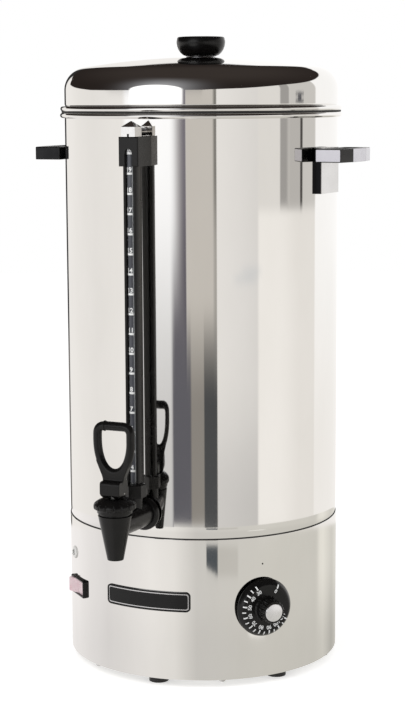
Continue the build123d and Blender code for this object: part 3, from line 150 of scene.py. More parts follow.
def melted(name, parts, voxel):
    """Closed solids run together into one skin, with the edges between them softened."""
    rough = joined(name, parts)
    remesh = rough.modifiers.new("skin", "REMESH")
    remesh.mode = "VOXEL"
    remesh.voxel_size = voxel * MM
    soft = rough.modifiers.new("soft", "SMOOTH")
    soft.factor, soft.iterations = 0.5, 6
    bpy.context.view_layer.update()
    mesh = bpy.data.meshes.new_from_object(rough.evaluated_get(bpy.context.evaluated_depsgraph_get()))
    mesh.name = name
    mesh.polygons.foreach_set("use_smooth", [True] * len(mesh.polygons))
    bpy.data.objects.remove(rough)
    obj = bpy.data.objects.new(name, mesh)
    bpy.context.scene.collection.objects.link(obj)
    return obj


def ribbon_grid(name, place, columns, rows):
    """Sheet over a grid of (column, row) values, with place giving each point."""
    verts = [place(c, r) for r in rows for c in columns]
    wide = len(columns)
    faces = [(j * wide + i, j * wide + i + 1, (j + 1) * wide + i + 1, (j + 1) * wide + i)
             for j in range(len(rows) - 1) for i in range(wide - 1)]
    return mesh_object(name, verts, faces)


def joined(name, parts, smooth=35.0):
    """One object from a list of (points, faces)."""
    verts, faces = [], []
    for points, polygons in parts:
        base = len(verts)
        verts += points
        faces += [[base + i for i in f] for f in polygons]
    return mesh_object(name, verts, faces, smooth)


def figure(text, height):
    """Flat outline of a number as (points, faces), centred, in millimetres."""
    curve = bpy.data.curves.new("figure", "FONT")
    curve.body = text
    curve.size = height / 0.72
    curve.align_x = "CENTER"
    curve.align_y = "CENTER"
    curve.resolution_u = 3
    curve.offset = 0.035 * height
    obj = bpy.data.objects.new("figure", curve)
    bpy.context.scene.collection.objects.link(obj)
    bpy.context.view_layer.update()
    mesh = bpy.data.meshes.new_from_object(obj.evaluated_get(bpy.context.evaluated_depsgraph_get()))
    points = [tuple(v.co[:2]) for v in mesh.vertices]
    faces = [tuple(p.vertices) for p in mesh.polygons]
    bpy.data.objects.remove(obj)
    bpy.data.meshes.remove(mesh)
    bpy.data.curves.remove(curve)
    xs = [p[0] for p in points]
    ys = [p[1] for p in points]
    mid = ((min(xs) + max(xs)) / 2, (min(ys) + max(ys)) / 2)
    return [(x - mid[0], y - mid[1]) for x, y in points], faces


def sliced(points, faces, spacing):
    """The flat figure cut into upright strips, so that it can follow a small cylinder."""
    work = bmesh.new()
    verts = [work.verts.new((x, y, 0)) for x, y in points]
    for f in faces:
        work.faces.new([verts[i] for i in f])
    low, high = min(p[0] for p in points), max(p[0] for p in points)
    for x in np.arange(low + spacing / 2, high, spacing):
        geometry = work.verts[:] + work.edges[:] + work.faces[:]
        bmesh.ops.bisect_plane(work, geom=geometry, plane_co=(x, 0, 0), plane_no=(1, 0, 0))
    work.verts.index_update()
    out = [tuple(v.co[:2]) for v in work.verts], [[v.index for v in f.verts] for f in work.faces]
    work.free()
    return out


# ---------------- materials
def add(tree, kind, inputs=None, **settings):
    node = tree.nodes.new(kind)
    for key, value in settings.items():
        setattr(node, key, value)
    for key, value in (inputs or {}).items():
        if isinstance(value, bpy.types.NodeSocket):
            tree.links.new(value, node.inputs[key])
        else:
            node.inputs[key].default_value = value
    return node


def rgb(colour):
    return (*colour, 1.0)


def surface(name, dark, light, rough, drift=30.0, stretch=(1, 1, 1), grain=900.0, lift=0.00002, wave=None,
            **sockets):
    """Procedural finish. Colour runs between two tones and roughness between two values with a slow
    noise, and a fine grain lifts the surface by a distance in metres. A wave is a second, broad
    unevenness of the sheet, as (frequency, distance)."""
    material = bpy.data.materials.new(name)
    material.use_nodes = True
    tree = material.node_tree
    shader = tree.nodes["Principled BSDF"]
    place = add(tree, "ShaderNodeTexCoord").outputs["Object"]
    stretched = add(tree, "ShaderNodeMapping", {"Vector": place, "Scale": stretch}).outputs["Vector"]
    slow = add(tree, "ShaderNodeTexNoise",
               {"Vector": stretched, "Scale": drift, "Detail": 5.0, "Roughness": 0.6})
    fine = add(tree, "ShaderNodeTexNoise", {"Vector": stretched, "Scale": grain, "Detail": 2.0})
    tone = add(tree, "ShaderNodeMapRange", {"Value": slow.outputs["Fac"], "From Min": 0.3, "From Max": 0.7})
    mix = add(tree, "ShaderNodeMix", {"Factor": tone.outputs["Result"], "A": rgb(dark), "B": rgb(light)},
              data_type="RGBA")
    tree.links.new(mix.outputs["Result"], shader.inputs["Base Color"])
    blur = add(tree, "ShaderNodeMapRange", {"Value": slow.outputs["Fac"], "From Min": 0.25, "From Max": 0.75,
                                            "To Min": rough[0], "To Max": rough[1]})
    tree.links.new(blur.outputs["Result"], shader.inputs["Roughness"])
    bump = add(tree, "ShaderNodeBump", {"Height": fine.outputs["Fac"], "Strength": 1.0, "Distance": lift})
    if wave:
        broad = add(tree, "ShaderNodeTexNoise", {"Vector": place, "Scale": wave[0], "Detail": 1.0})
        bump = add(tree, "ShaderNodeBump", {"Height": broad.outputs["Fac"], "Strength": 1.0,
                                            "Distance": wave[1], "Normal": bump.outputs["Normal"]})
    tree.links.new(bump.outputs["Normal"], shader.inputs["Normal"])
    for key, value in sockets.items():
        socket = shader.inputs[key.replace("_", " ")]
        socket.default_value = rgb(value) if isinstance(value, tuple) else value
    return material


def shaded(material):
    """Painted shade: darkens the sides that face the front of the urn, as the photograph shows the brackets.
    """
    tree = material.node_tree
    shader = tree.nodes["Principled BSDF"]
    base = shader.inputs["Base Color"].links[0].from_socket
    normal = add(tree, "ShaderNodeTexCoord").outputs["Normal"]
    front = add(tree, "ShaderNodeVectorMath", {0: normal, 1: (0.0, -1.0, -0.3)}, operation="DOT_PRODUCT")
    shade_mask = add(tree, "ShaderNodeMapRange",
               {"Value": front.outputs["Value"], "From Min": 0.25, "From Max": 0.8})
    # Near-black painted shade where the mask is full.
    mix = add(tree, "ShaderNodeMix",
              {"Factor": shade_mask.outputs["Result"], "A": base, "B": (0.012, 0.012, 0.013, 1)}, data_type="RGBA")
    tree.links.new(mix.outputs["Result"], shader.inputs["Base Color"])


# The handle brackets take a steel finish with painted shade on their front sides.
NODE_LOOKS = {"handle_bracket_left": "bracket_steel_painted_shade", "handle_bracket_right": "bracket_steel_painted_shade"}


METAL = {"Metallic": 1.0}
# Every finish by name: settings of the shader, then what surface takes after the name.
FINISHES = {
    "tank_steel": (METAL, (0.86, 0.85, 0.83), (0.90, 0.89, 0.875), (0.02, 0.05), 14.0, (1, 1, 0.4),
                   1500.0, 0.0000003, (9.0, 0.00008)),
    "skirt_steel": (METAL, (0.85, 0.84, 0.82), (0.89, 0.88, 0.865), (0.02, 0.045), 18.0, (1, 1, 0.4),
                    1300.0, 0.0000004, (8.0, 0.00006)),
    "plate_steel": (METAL, (0.52, 0.52, 0.51), (0.64, 0.64, 0.63), (0.3, 0.42), 25.0),
    "polished_trim": (METAL, (0.84, 0.84, 0.86), (0.9, 0.9, 0.92), (0.1, 0.16), 90.0, (1, 1, 1), 2500.0,
                      0.000002),
    "gauge_steel": (METAL, (0.66, 0.65, 0.64), (0.80, 0.79, 0.78), (0.10, 0.17), 120.0, (1, 1, 1), 2200.0,
                    0.000003),
    "element_steel": (METAL, (0.45, 0.42, 0.37), (0.60, 0.57, 0.52), (0.25, 0.4), 60.0),
    "screw_steel": (METAL, (0.60, 0.60, 0.60), (0.74, 0.74, 0.73), (0.2, 0.33), 200.0),
    "brass": (METAL, (0.62, 0.43, 0.17), (0.78, 0.58, 0.26), (0.22, 0.36), 160.0),
    "copper_tube": (METAL, (0.62, 0.30, 0.19), (0.80, 0.45, 0.30), (0.2, 0.36), 140.0),
    "black_plastic": (dict(Specular_IOR_Level=0.30), (0.0042, 0.0040, 0.0040), (0.0080, 0.0075, 0.0073),
                      (0.20, 0.30), 70.0, (1, 1, 1), 1400.0, 0.000008),
    "stem_plastic": ({}, (0.50, 0.50, 0.48), (0.60, 0.60, 0.58), (0.35, 0.5), 120.0),
    "cream_plastic": ({}, (0.70, 0.66, 0.56), (0.80, 0.76, 0.67), (0.35, 0.5), 80.0),
    "cutout_plastic": ({}, (0.03, 0.028, 0.026), (0.055, 0.05, 0.045), (0.35, 0.5), 120.0),
    "badge_plastic": (dict(Specular_IOR_Level=0.30), (0.0045, 0.0045, 0.005), (0.0085, 0.0085, 0.009),
                      (0.16, 0.26), 110.0, (1, 1, 1), 2200.0, 0.000006),
    "pilot_plastic": ({}, (0.80, 0.79, 0.76), (0.88, 0.87, 0.85), (0.25, 0.35), 300.0),
    "lens_plastic": (dict(Transmission_Weight=0.75, IOR=1.49), (0.92, 0.93, 0.92), (0.97, 0.97, 0.96),
                     (0.06, 0.12), 300.0, (1, 1, 1), 2500.0, 0.000004),
    "rocker_plastic": (dict(Transmission_Weight=0.15, IOR=1.5), (0.93, 0.66, 0.71), (0.97, 0.80, 0.83),
                       (0.14, 0.22), 120.0, (1, 1, 1), 2200.0, 0.000004),
    # inlay_right and inlay_left are a lit and a shaded copy of one plate finish: the near-black inlay_left is
    # painted dark reflection.
    "inlay_right": (METAL, (0.56, 0.55, 0.59), (0.66, 0.65, 0.69), (0.24, 0.34), 60.0, (1, 1, 1), 2500.0,
                    0.000002),
    "inlay_left": (METAL, (0.016, 0.016, 0.017), (0.030, 0.030, 0.031), (0.12, 0.2), 60.0, (1, 1, 1),
                   2500.0, 0.000002),
    # Steel of the handle brackets, which shaded() darkens with painted shade on its front sides.
    "bracket_steel_painted_shade": (METAL, (0.62, 0.61, 0.60), (0.72, 0.71, 0.70), (0.16, 0.26), 40.0, (1, 1, 1),
                      2000.0, 0.000002),
    "seal_rubber": ({}, (0.018, 0.018, 0.018), (0.032, 0.031, 0.030), (0.55, 0.7), 160.0),
    "foot_rubber": ({}, (0.014, 0.014, 0.014), (0.028, 0.027, 0.026), (0.5, 0.68), 120.0, (1, 1, 1),
                    1100.0, 0.00003),
    "tube_glass": (dict(Transmission_Weight=0.92, IOR=1.47), (0.93, 0.95, 0.95), (0.98, 0.99, 0.99),
                   (0.02, 0.05), 220.0, (1, 1, 1), 1500.0, 0.000001),
    "white_print": ({}, (0.90, 0.91, 0.90), (0.97, 0.97, 0.96), (0.4, 0.55), 500.0, (1, 1, 1), 3000.0,
                    0.000003),
    # Finishes of the two strips on the gauge glass: painted shade, then painted highlight.
    "glass_painted_shade": ({}, (0.055, 0.058, 0.070), (0.10, 0.105, 0.12), (0.10, 0.18), 90.0, (1, 1, 0.15),
                   2000.0, 0.000003),
    "glass_painted_highlight": ({}, (0.66, 0.69, 0.71), (0.80, 0.83, 0.84), (0.12, 0.2), 120.0, (1, 1, 0.2), 2000.0,
               0.000003),
    "cap_silver": (METAL, (0.80, 0.80, 0.82), (0.87, 0.87, 0.89), (0.18, 0.26), 90.0, (1, 1, 1), 2500.0,
                   0.000002),
    "silver_line": (METAL, (0.66, 0.66, 0.67), (0.78, 0.78, 0.79), (0.22, 0.34), 300.0),
}
looks = {name: surface(name, *finish, **sockets) for name, (sockets, *finish) in FINISHES.items()}
# Painted shade on the front sides of the brackets' steel.
shaded(looks["bracket_steel_painted_shade"])


def wear(obj, look, body, replaced=()):
    """Gives a new piece its finish and the body it rides on, and hides the CAD nodes that it replaces."""
    obj.data.materials.clear()
    obj.data.materials.append(looks[look])
    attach(obj, body)
    if replaced:
        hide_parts(*replaced)
    return obj


def dress_nodes():
    """The CAD nodes that stay get the finish of their slot; the handle brackets get steel with painted shade
    instead.
    """
    slots = {part["node"]: part["material_slot"] for part in frame["record"]["subparts"]}
    for node, obj in frame["nodes"].items():
        for place in obj.material_slots:
            place.link = "OBJECT"
            place.material = looks[NODE_LOOKS.get(node, slots[node])]


# ---------------- casing
def tank_outline():
    top = degrees(acos((RIM_CURL_R - TANK_R) / RIM_BEAD))
    bead = arc((RIM_CURL_R, RIM_Z), RIM_BEAD, top - 180, 180, 40)
    outside, inside = [], []
    for t in np.linspace(0, 1, 13):
        height = SEAM_Z + (SWAGE_TOP - SEAM_Z) * t
        bulge = (TANK_R - LAP_R) * (2 * t - t * t)
        outside.append((LAP_R + bulge, height))
        inside.append((LAP_R + bulge - SHEET, height))
    wall = [(TANK_R, height) for height in (159.0, 159.6, 350.0, 542.0, 542.6)]
    return ([(LAP_R - SHEET, LAP_BOTTOM), (LAP_R, LAP_BOTTOM)] + outside + wall + bead
            + [(TANK_IN_R, 430.0), (TANK_IN_R, 300.0)] + inside[::-1])


def skirt_outline():
    corner = arc((SKIRT_R - SHEET, SKIRT_BOTTOM + SHEET), SHEET, -90, 0, 7)
    wall = [(SKIRT_R, height) for height in (9.0, 9.4, 145.6, 146.0)]
    top = arc((SKIRT_R - 0.3, SEAM_Z - 0.3), 0.3, 0, 90, 4)
    return ([(SKIRT_R - SKIRT_FOLD, SKIRT_BOTTOM)] + corner + wall + top
            + [(SKIRT_R - SHEET, SEAM_Z), (SKIRT_R - SHEET, SKIRT_BOTTOM + SHEET),
               (SKIRT_R - SKIRT_FOLD, SKIRT_BOTTOM + SHEET)])


def crown_outline(inset):
    """Lid from its axis down to the top of the groove."""
    shoulder = LID_SHOULDER_R - inset
    centre = TANK_R - LID_SHOULDER_R
    edge_r = centre + shoulder * sin(LID_SLOPE)
    edge_z = LID_SHOULDER_Z + shoulder * cos(LID_SLOPE)
    crown_r = edge_r / sin(LID_SLOPE)
    top = edge_z + edge_r * tan(LID_SLOPE / 2)
    crown = [(crown_r * sin(a), top - crown_r * (1 - cos(a))) for a in np.linspace(0, LID_SLOPE, 26)]
    return crown + arc((centre, LID_SHOULDER_Z), shoulder, 90 - degrees(LID_SLOPE), 0, 40)[1:]


def lid_outline():
    meet = degrees(acos((LID_BEAD_R - LID_LIP_R) / LID_BEAD))
    bead = arc((LID_BEAD_R, LID_BEAD_Z), LID_BEAD, 180 - meet, meet - 180, 44)
    wall = [(TANK_R, height) for height in (569.0, 556.6, 556.2, LID_GROOVE_TOP)]
    outside = crown_outline(0) + wall + [(LID_LIP_R, LID_FLARE_Z)] + bead
    inside = crown_outline(SHEET) + [(TANK_R - SHEET, LID_GROOVE_TOP), (LID_LIP_R - SHEET, LID_FLARE_Z)]
    return outside + [(LID_LIP_R, LID_LIP_Z), (LID_LIP_R - SHEET, LID_LIP_Z)] + inside[::-1]


# Outlines of the lid's knob and of the collar under it, as (radius, depth below the knob's top).
KNOB_BOWL = [(0, 0), (21.5, 0), (22.7, 0.4), (23.3, 1.3), (23.5, 2.6), (23.9, 4.0), (23.9, 6.0), (23.4, 9.0),
             (22.2, 12.3), (20.2, 15.3), (17.6, 17.6), (15.2, 18.6), (14.6, 18.9), (0, 18.9)]
KNOB_COLLAR = [(13.2, 19.2), (14.6, 19.3), (15.0, 19.9), (15.0, 20.6), (14.4, 21.2), (13.2, 21.2)]
# Dark rubber ring under the lid's bead, as (radius, height): painted shade for the dark line between lid and
# rim.
LID_SHADE_RING = [(136.9, 548.2), (137.9, 547.95), (138.1, 548.1), (138.1, 549.25), (137.9, 549.15),
              (136.9, 548.95)]


def make_knob():
    """Moulded bowl-shaped knob on a bright collar."""
    bowl, collar = ([(radius, KNOB_TOP - depth) for radius, depth in outline]
                    for outline in (KNOB_BOWL, KNOB_COLLAR))
    wear(lathe("knob_bowl", bowl, 160), "black_plastic", "lid", ["lid_knob"])
    wear(lathe("knob_collar", collar, 160), "cap_silver", "lid")


def make_casing():
    wear(lathe("tank_shell", tank_outline()), "tank_steel", "urn", ["tank_wall"])
    wear(lathe("skirt_shell", skirt_outline()), "skirt_steel", "urn", ["base_skirt"])
    wear(lathe("lid_dome", lid_outline()), "tank_steel", "lid", ["lid_shell"])
    # Dark rubber ring in the seam between tank and skirt: a dark sheet put there as painted shade for the
    # seam's dark line.
    seam_shade = [(LAP_R + 0.05, SEAM_Z - 1.0), (SKIRT_R - 0.35, SEAM_Z - 1.0), (SKIRT_R - 0.3, SEAM_Z + 0.2),
               (LAP_R + 0.5, SEAM_Z + 0.9), (LAP_R + 0.15, SEAM_Z + 0.9)]
    wear(lathe("seam_shade_ring", seam_shade), "seal_rubber", "urn")
    # Painted shade: a dark ring in the gap under the lid's bead.
    wear(lathe("lid_shade_ring", LID_SHADE_RING), "seal_rubber", "lid")


# ---------------- gauge scale
SCALE_BAR, SCALE_FIGURE, FIGURE_RISE = (6.8, 2.0), 4.3, 3.7
# Strips painted on the glass, a pale painted highlight and a dark painted shade: name, finish, turn of each
# edge in degrees and distance from the glass.
GLASS_TINTS = (("gauge_highlight_strip", "glass_painted_highlight", 47, 78, 0.03), ("gauge_shade", "glass_painted_shade", -40, 44, 0.02))
TINT_ENDS = (205.0, 524.5)


def on_tube(points, faces, height, radius):
    """A flat figure wrapped on the front of the gauge tube."""
    out = []
    for x, y in points:
        turn = x / radius
        out.append((radius * sin(turn), GAUGE_Y - radius * cos(turn), height + y))
    return out, faces


def bar(width, depth):
    """Flat bar as a row of upright strips."""
    xs = np.linspace(-width / 2, width / 2, 13)
    points = [(x, y) for x in xs for y in (-depth / 2, depth / 2)]
    return points, [(2 * i, 2 * i + 2, 2 * i + 3, 2 * i + 1) for i in range(12)]


def make_scale():
    radius = TUBE_R + 0.04
    parts = []
    for litre in range(4, 21):
        height = SCALE_ZERO + LITRE * litre
        parts.append(on_tube(*bar(*SCALE_BAR), height, radius))
        parts.append(on_tube(*sliced(*figure(str(litre), SCALE_FIGURE), 0.45), height + FIGURE_RISE, radius))
    parts.append(on_tube(*sliced(*figure("L", 3.4), 0.45), SCALE_ZERO + LITRE * 20 + 9.4, radius))
    wear(joined("gauge_scale", parts), "white_print", "urn")
    # Each strip paints a highlight or a shade onto the glass.
    for name, look, start, end, out in GLASS_TINTS:
        def on_glass(turn, height, at=TUBE_R + out):
            return at * sin(turn), GAUGE_Y - at * cos(turn), height

        turns = np.linspace(radians(start), radians(end), 11)
        tint = ribbon_grid(name, on_glass, turns, np.linspace(*TINT_ENDS, 9))
        wear(tint, look, "urn")


# ---------------- dial
# Turns in degrees, clockwise from the index: the off mark, the mark 30 and the step to the next ten.
MARK_OFF, MARK_30, MARK_STEP = 30.0, -27.0, 26.5
LONG_TICK, SHORT_TICK = (21.4, 25.4, 1.35), (22.4, 25.6, 1.15)     # inner and outer radius, width
DIAL_FIGURE, DIAL_FIGURE_R = 3.7, 18.6


def on_dial(turn, radius, out=0.05):
    """Point of the dial's face, clockwise from its top as seen from the front."""
    return wall_point(DIAL_AZ, face_height(radius) + out, radius * sin(turn), DIAL_Z + radius * cos(turn))


def face_height(radius):
    """The face is nearly flat and rolls over into the rim."""
    roll = max(0.0, (radius - DIAL_FACE_R + 3.0) / (DIAL_R - DIAL_FACE_R + 3.0))
    return DIAL_FACE_AT - 5.6 * roll ** 2.2


def dial_place(radius, turn, out):
    flute = 0.55 * max(0.0, cos(16 * turn)) ** 2 if DIAL_GRIP_R - 0.8 < radius < DIAL_GRIP_R + 1.0 else 0.0
    return wall_point(DIAL_AZ, out, (radius - flute) * sin(turn), DIAL_Z + (radius - flute) * cos(turn))


def make_dial():
    top, cap = DIAL_TOP_AT, DIAL_CAP_R
    grip = [(0, top - 0.7), (cap + 0.3, top - 0.7), (cap + 0.3, top - 0.1), (cap + 0.5, top),
            (DIAL_GRIP_R - 0.7, top), (DIAL_GRIP_R, top - 0.9), (DIAL_GRIP_R + 0.5, DIAL_FACE_AT + 2.2),
            (DIAL_GRIP_R + 0.9, DIAL_FACE_AT + 1.0), (DIAL_GRIP_R + 2.0, DIAL_FACE_AT)]
    face = [(r, face_height(r)) for r in np.linspace(DIAL_GRIP_R + 3.0, DIAL_R, 26)]
    rim = [(DIAL_R + 0.25, DIAL_BACK_AT + 1.6), (DIAL_R + 0.25, DIAL_BACK_AT + 0.5),
           (DIAL_R, DIAL_BACK_AT + 0.2), (0, DIAL_BACK_AT + 0.2)]
    wear(lathe("dial_body", grip + face + rim, 256, dial_place), "black_plastic", "dial", ["dial_knob"])
    button = [(0, top + 0.5), (cap - 0.9, top + 0.5), (cap - 0.35, top + 0.35), (cap, top - 0.05),
              (cap, top - 0.65), (0, top - 0.65)]
    wear(lathe("dial_button", button, 128, dial_place), "cap_silver", "dial", ["dial_cap"])


def dial_tick(turn, inner, outer, width):
    rows = list(np.linspace(inner, outer, 6))
    points = []
    for radius in rows:
        for side in (-1, 1):
            points.append(on_dial(turn + side * width / 2 / radius, radius))
    return points, [(2 * i, 2 * i + 2, 2 * i + 3, 2 * i + 1) for i in range(len(rows) - 1)]


def make_dial_marks():
    """A figure with a long tick at each mark, and a short tick halfway between two tens."""
    marks = [(radians(MARK_OFF), "0")]
    marks += [(radians(MARK_30 - MARK_STEP * k), str(30 + 10 * k)) for k in range(9)]
    parts = []
    for turn, text in marks:
        parts.append(dial_tick(turn, *LONG_TICK))
        points, faces = figure(text, DIAL_FIGURE)
        placed = []
        for x, y in points:
            reach = DIAL_FIGURE_R + y
            along, up = x * cos(turn) + reach * sin(turn), -x * sin(turn) + reach * cos(turn)
            placed.append(wall_point(DIAL_AZ, DIAL_FACE_AT + 0.05, along, DIAL_Z + up))
        parts.append((placed, faces))
    for k in range(8):
        parts.append(dial_tick(radians(MARK_30 - MARK_STEP * (k + 0.5)), *SHORT_TICK))
    wear(joined("dial_marks", parts), "white_print", "dial")


def disc(centre, radius, count=20):
    """Flat dot on the wall of the skirt."""
    azimuth, out, height = centre
    points = [wall_point(azimuth, out, 0, height)]
    for k in range(count):
        a = 2 * pi * k / count
        points.append(wall_point(azimuth, out, radius * sin(a), height + radius * cos(a)))
    return points, [(0, 1 + k, 1 + (k + 1) % count) for k in range(count)]


def make_index_dot():
    wear(joined("dial_index", [disc((DIAL_AZ, SKIRT_R + 0.04, 120.0), 0.9)]), "cutout_plastic", "urn")


# ---------------- badge
def rounded_outline(width, height, corner, steps=9):
    points = []
    for cx, cy, start in ((1, 1, 0), (-1, 1, 90), (-1, -1, 180), (1, -1, 270)):
        for a in np.linspace(start, start + 90, steps):
            points.append((cx * (width / 2 - corner) + corner * cos(radians(a)),
                           cy * (height / 2 - corner) + corner * sin(radians(a))))
    dense = []
    for (x0, y0), (x1, y1) in zip(points, points[1:] + points[:1]):
        pieces = max(1, int(abs(x1 - x0) / 2.5))
        dense += [(x0 + (x1 - x0) * k / pieces, y0 + (y1 - y0) * k / pieces) for k in range(pieces)]
    return dense


def make_badge_line():
    """Bright line that runs round the bare badge, just inside its raised rim."""
    outer = rounded_outline(*BADGE_LINE, 2.4)
    radius = BADGE_FACE_R + 0.06
    points = []
    for x, y in outer:
        for inset in (0.0, BADGE_LINE_WIDE):
            scale_x, scale_y = (1 - 2 * inset / size for size in BADGE_LINE)
            turn = x * scale_x / SKIRT_R
            points.append((radius * sin(turn), -radius * cos(turn), BADGE_Z + y * scale_y))
    count = len(outer)
    faces = [(2 * i, 2 * ((i + 1) % count), 2 * ((i + 1) % count) + 1, 2 * i + 1) for i in range(count)]
    wear(joined("badge_line", [(points, faces)]), "silver_line", "urn")


# ---------------- handles
HANDLE_AZ = radians(87.0)
HANDLE_LOW, HANDLE_HIGH, HANDLE_ROOT = 500.9, 513.7, 139.0
HANDLE_SIDE_R, HANDLE_FACE_R, HANDLE_HALF, HANDLE_FACE_HALF = 165.4, 169.4, 36.0, 15.6
HANDLE_PLAN = [(-HANDLE_HALF, HANDLE_ROOT), (-HANDLE_HALF, HANDLE_SIDE_R), (-HANDLE_FACE_HALF, HANDLE_FACE_R),
               (HANDLE_FACE_HALF, HANDLE_FACE_R), (HANDLE_HALF, HANDLE_SIDE_R), (HANDLE_HALF, HANDLE_ROOT)]
GAP_MIDDLE, GAP_HALF, GAP_DEEP = 152.8, 28.0, 9.8


def ray_hit(polygon, origin, angle):
    """Where a ray from inside a closed outline leaves it."""
    heading = np.array((cos(angle), sin(angle)))
    for a, b in zip(polygon, polygon[1:] + polygon[:1]):
        a, b = np.array(a), np.array(b)
        system = np.stack([heading, a - b], 1)
        if abs(np.linalg.det(system)) < 1e-9:
            continue
        reach, share = np.linalg.solve(system, a - origin)
        if reach > 0 and -1e-6 <= share <= 1 + 1e-6:
            return origin + heading * reach


def handle_loop(azimuth):
    """Rectangular bar with eased edges round the gap for the fingers."""
    middle = np.array((0.0, GAP_MIDDLE))
    gap = [(x, GAP_MIDDLE + y) for x, y in rounded_outline(2 * GAP_HALF, 2 * GAP_DEEP, 5.0)]
    turns = set(np.linspace(-pi, pi, 96, endpoint=False))
    for x, y in HANDLE_PLAN:
        corner = atan2(y - GAP_MIDDLE, x)
        turns |= {corner - 0.012, corner, corner + 0.012}
    low, high = HANDLE_LOW, HANDLE_HIGH
    rings = []
    for turn in sorted(turns):
        outer, inner = ray_hit(HANDLE_PLAN, middle, turn), ray_hit(gap, middle, turn)
        along = (outer - middle) / np.linalg.norm(outer - middle)
        section = [(outer - along, low), (outer - 0.3 * along, low + 0.3), (outer, low + 1.0),
                   (outer, high - 1.0), (outer - 0.3 * along, high - 0.3), (outer - along, high),
                   (inner + along, high), (inner, high - 1.0), (inner, low + 1.0), (inner + along, low)]
        rings.append([wall_point(azimuth, at[1], at[0], height) for at, height in section])
    return loft(rings, closed=True)


def inlay(azimuth, wide, tall, place):
    """Plate sunk 0.6 into the bar and 0.06 proud of it. place turns a point across the plate and a
    distance out into (radius, along)."""
    centre = (HANDLE_LOW + HANDLE_HIGH) / 2
    outline = rounded_outline(wide, tall, 0.6, 3)
    return loft([[wall_point(azimuth, *place(x, out), centre + y) for x, y in outline]
                 for out in (-0.6, 0.06)])


def make_handle(side, azimuth):
    """One handle: its loop, and plates on both arms, the face and the flank away from the tap."""
    wear(joined("handle_bar_" + side, [handle_loop(azimuth)], 30.0), "black_plastic", "urn",
         ["handle_loop_" + side])
    tall, arm = HANDLE_HIGH - HANDLE_LOW - 1.8, (HANDLE_ROOT + HANDLE_SIDE_R) / 2
    lean = (HANDLE_FACE_R - HANDLE_SIDE_R) / (HANDLE_HALF - HANDLE_FACE_HALF)
    far, across = (1 if azimuth > 0 else -1), (HANDLE_HALF + HANDLE_FACE_HALF) / 2

    def on_flank(x, out):
        return HANDLE_FACE_R + out - lean * (across + far * x - HANDLE_FACE_HALF), far * across + x

    plates = [inlay(azimuth, HANDLE_SIDE_R - HANDLE_ROOT - 1.8, tall,
                    lambda x, out: (arm + hand * x, hand * (HANDLE_HALF + out))) for hand in (-1, 1)]
    plates.append(inlay(azimuth, 2 * HANDLE_FACE_HALF - 0.2, tall + 1.2,
                        lambda x, out: (HANDLE_FACE_R + out, x)))
    plates.append(inlay(azimuth, HANDLE_HALF - HANDLE_FACE_HALF - 0.6, tall + 1.2, on_flank))
    # The left handle's plates get the near-black copy of the finish, a painted dark reflection.
    wear(joined("inlay_plates_" + side, plates, 30.0), "inlay_" + side, "urn", ["handle_inlays_" + side])


# ---------------- tap and sight guard
def cam_outline():
    """Side of the hub, as (forward, up) from the pin: the involute cam and the block over it."""
    foot = PIN_Z - BONNET_TOP - 0.3
    points = []
    for k in range(9):
        turn = radians(57.0) * k / 8
        reach = foot + LIFT_PER_RADIAN * turn
        points.append((reach * sin(turn) + LIFT_PER_RADIAN * cos(turn),
                       LIFT_PER_RADIAN * sin(turn) - reach * cos(turn)))
    heel = points[-1][0]
    return points + [(heel, HUB_TOP - 2.4), (heel - 0.7, HUB_TOP - 0.7), (heel - 2.4, HUB_TOP), (0, HUB_TOP),
                     (-HUB_BACK, HUB_TOP), (-HUB_BACK, 2.0 - foot), (2.0 - HUB_BACK, -foot)]


def hub_cheek(inner, outer):
    """One cheek of the hub. Its lower outside corner is rounded in front view."""
    corner, bottom = 5.0, min(up for _, up in cam_outline())
    rings = []
    for x in np.linspace(inner, outer, 12):
        past = max(0.0, abs(x) - HUB_HALF + corner) / corner
        floor = bottom + corner * (1 - (1 - min(past, 1.0) ** 2) ** 0.5)
        rings.append([(x, SPOUT_Y - forward, PIN_Z + max(up, floor)) for forward, up in cam_outline()])
    return loft(rings if outer > inner else rings[::-1])


def slab_between(outline, low, high, place):
    return loft([[place(a, b, c) for a, b in outline] for c in (low, high)])


# Right half of the lever's loop in front view, as (across, height).
LOOP = [(0, 265.0), (5.5, 265.0), (10.9, 264.9), (13.4, 264.2), (15.4, 262.6), (16.6, 260.4), (17.0, 257.5),
        (17.0, 250.0), (16.4, 243.0), (15.0, 236.5), (12.4, 230.0), (8.6, 225.0), (4.4, 222.2), (0, 221.3)]


def loop_tube():
    """Round bar along the lever's loop."""
    path = LOOP + [(-x, z) for x, z in LOOP[-2:0:-1]]
    dense = []
    count = len(path)
    for k in range(count):
        a, b, c, d = (np.array(path[(k + j) % count]) for j in (-1, 0, 1, 2))
        for t in (0.0, 0.25, 0.5, 0.75):
            dense.append(0.5 * (2 * b + (c - a) * t + (2 * a - 5 * b + 4 * c - d) * t * t
                                + (3 * b - a - 3 * c + d) * t ** 3))
    rings = []
    for k, point in enumerate(dense):
        along = dense[(k + 1) % len(dense)] - dense[k - 1]
        side = np.array((-along[1], along[0])) / np.linalg.norm(along)
        rings.append([(point[0] + side[0] * BAR_R * cos(a), SPOUT_Y + BAR_R * sin(a),
                       point[1] + side[1] * BAR_R * cos(a))
                      for a in np.linspace(0, 2 * pi, 24, endpoint=False)])
    return loft(rings, closed=True)


def from_side(forward, up, x):
    return x, SPOUT_Y - forward, PIN_Z + up


def from_front(x, height, y):
    return x, y, height


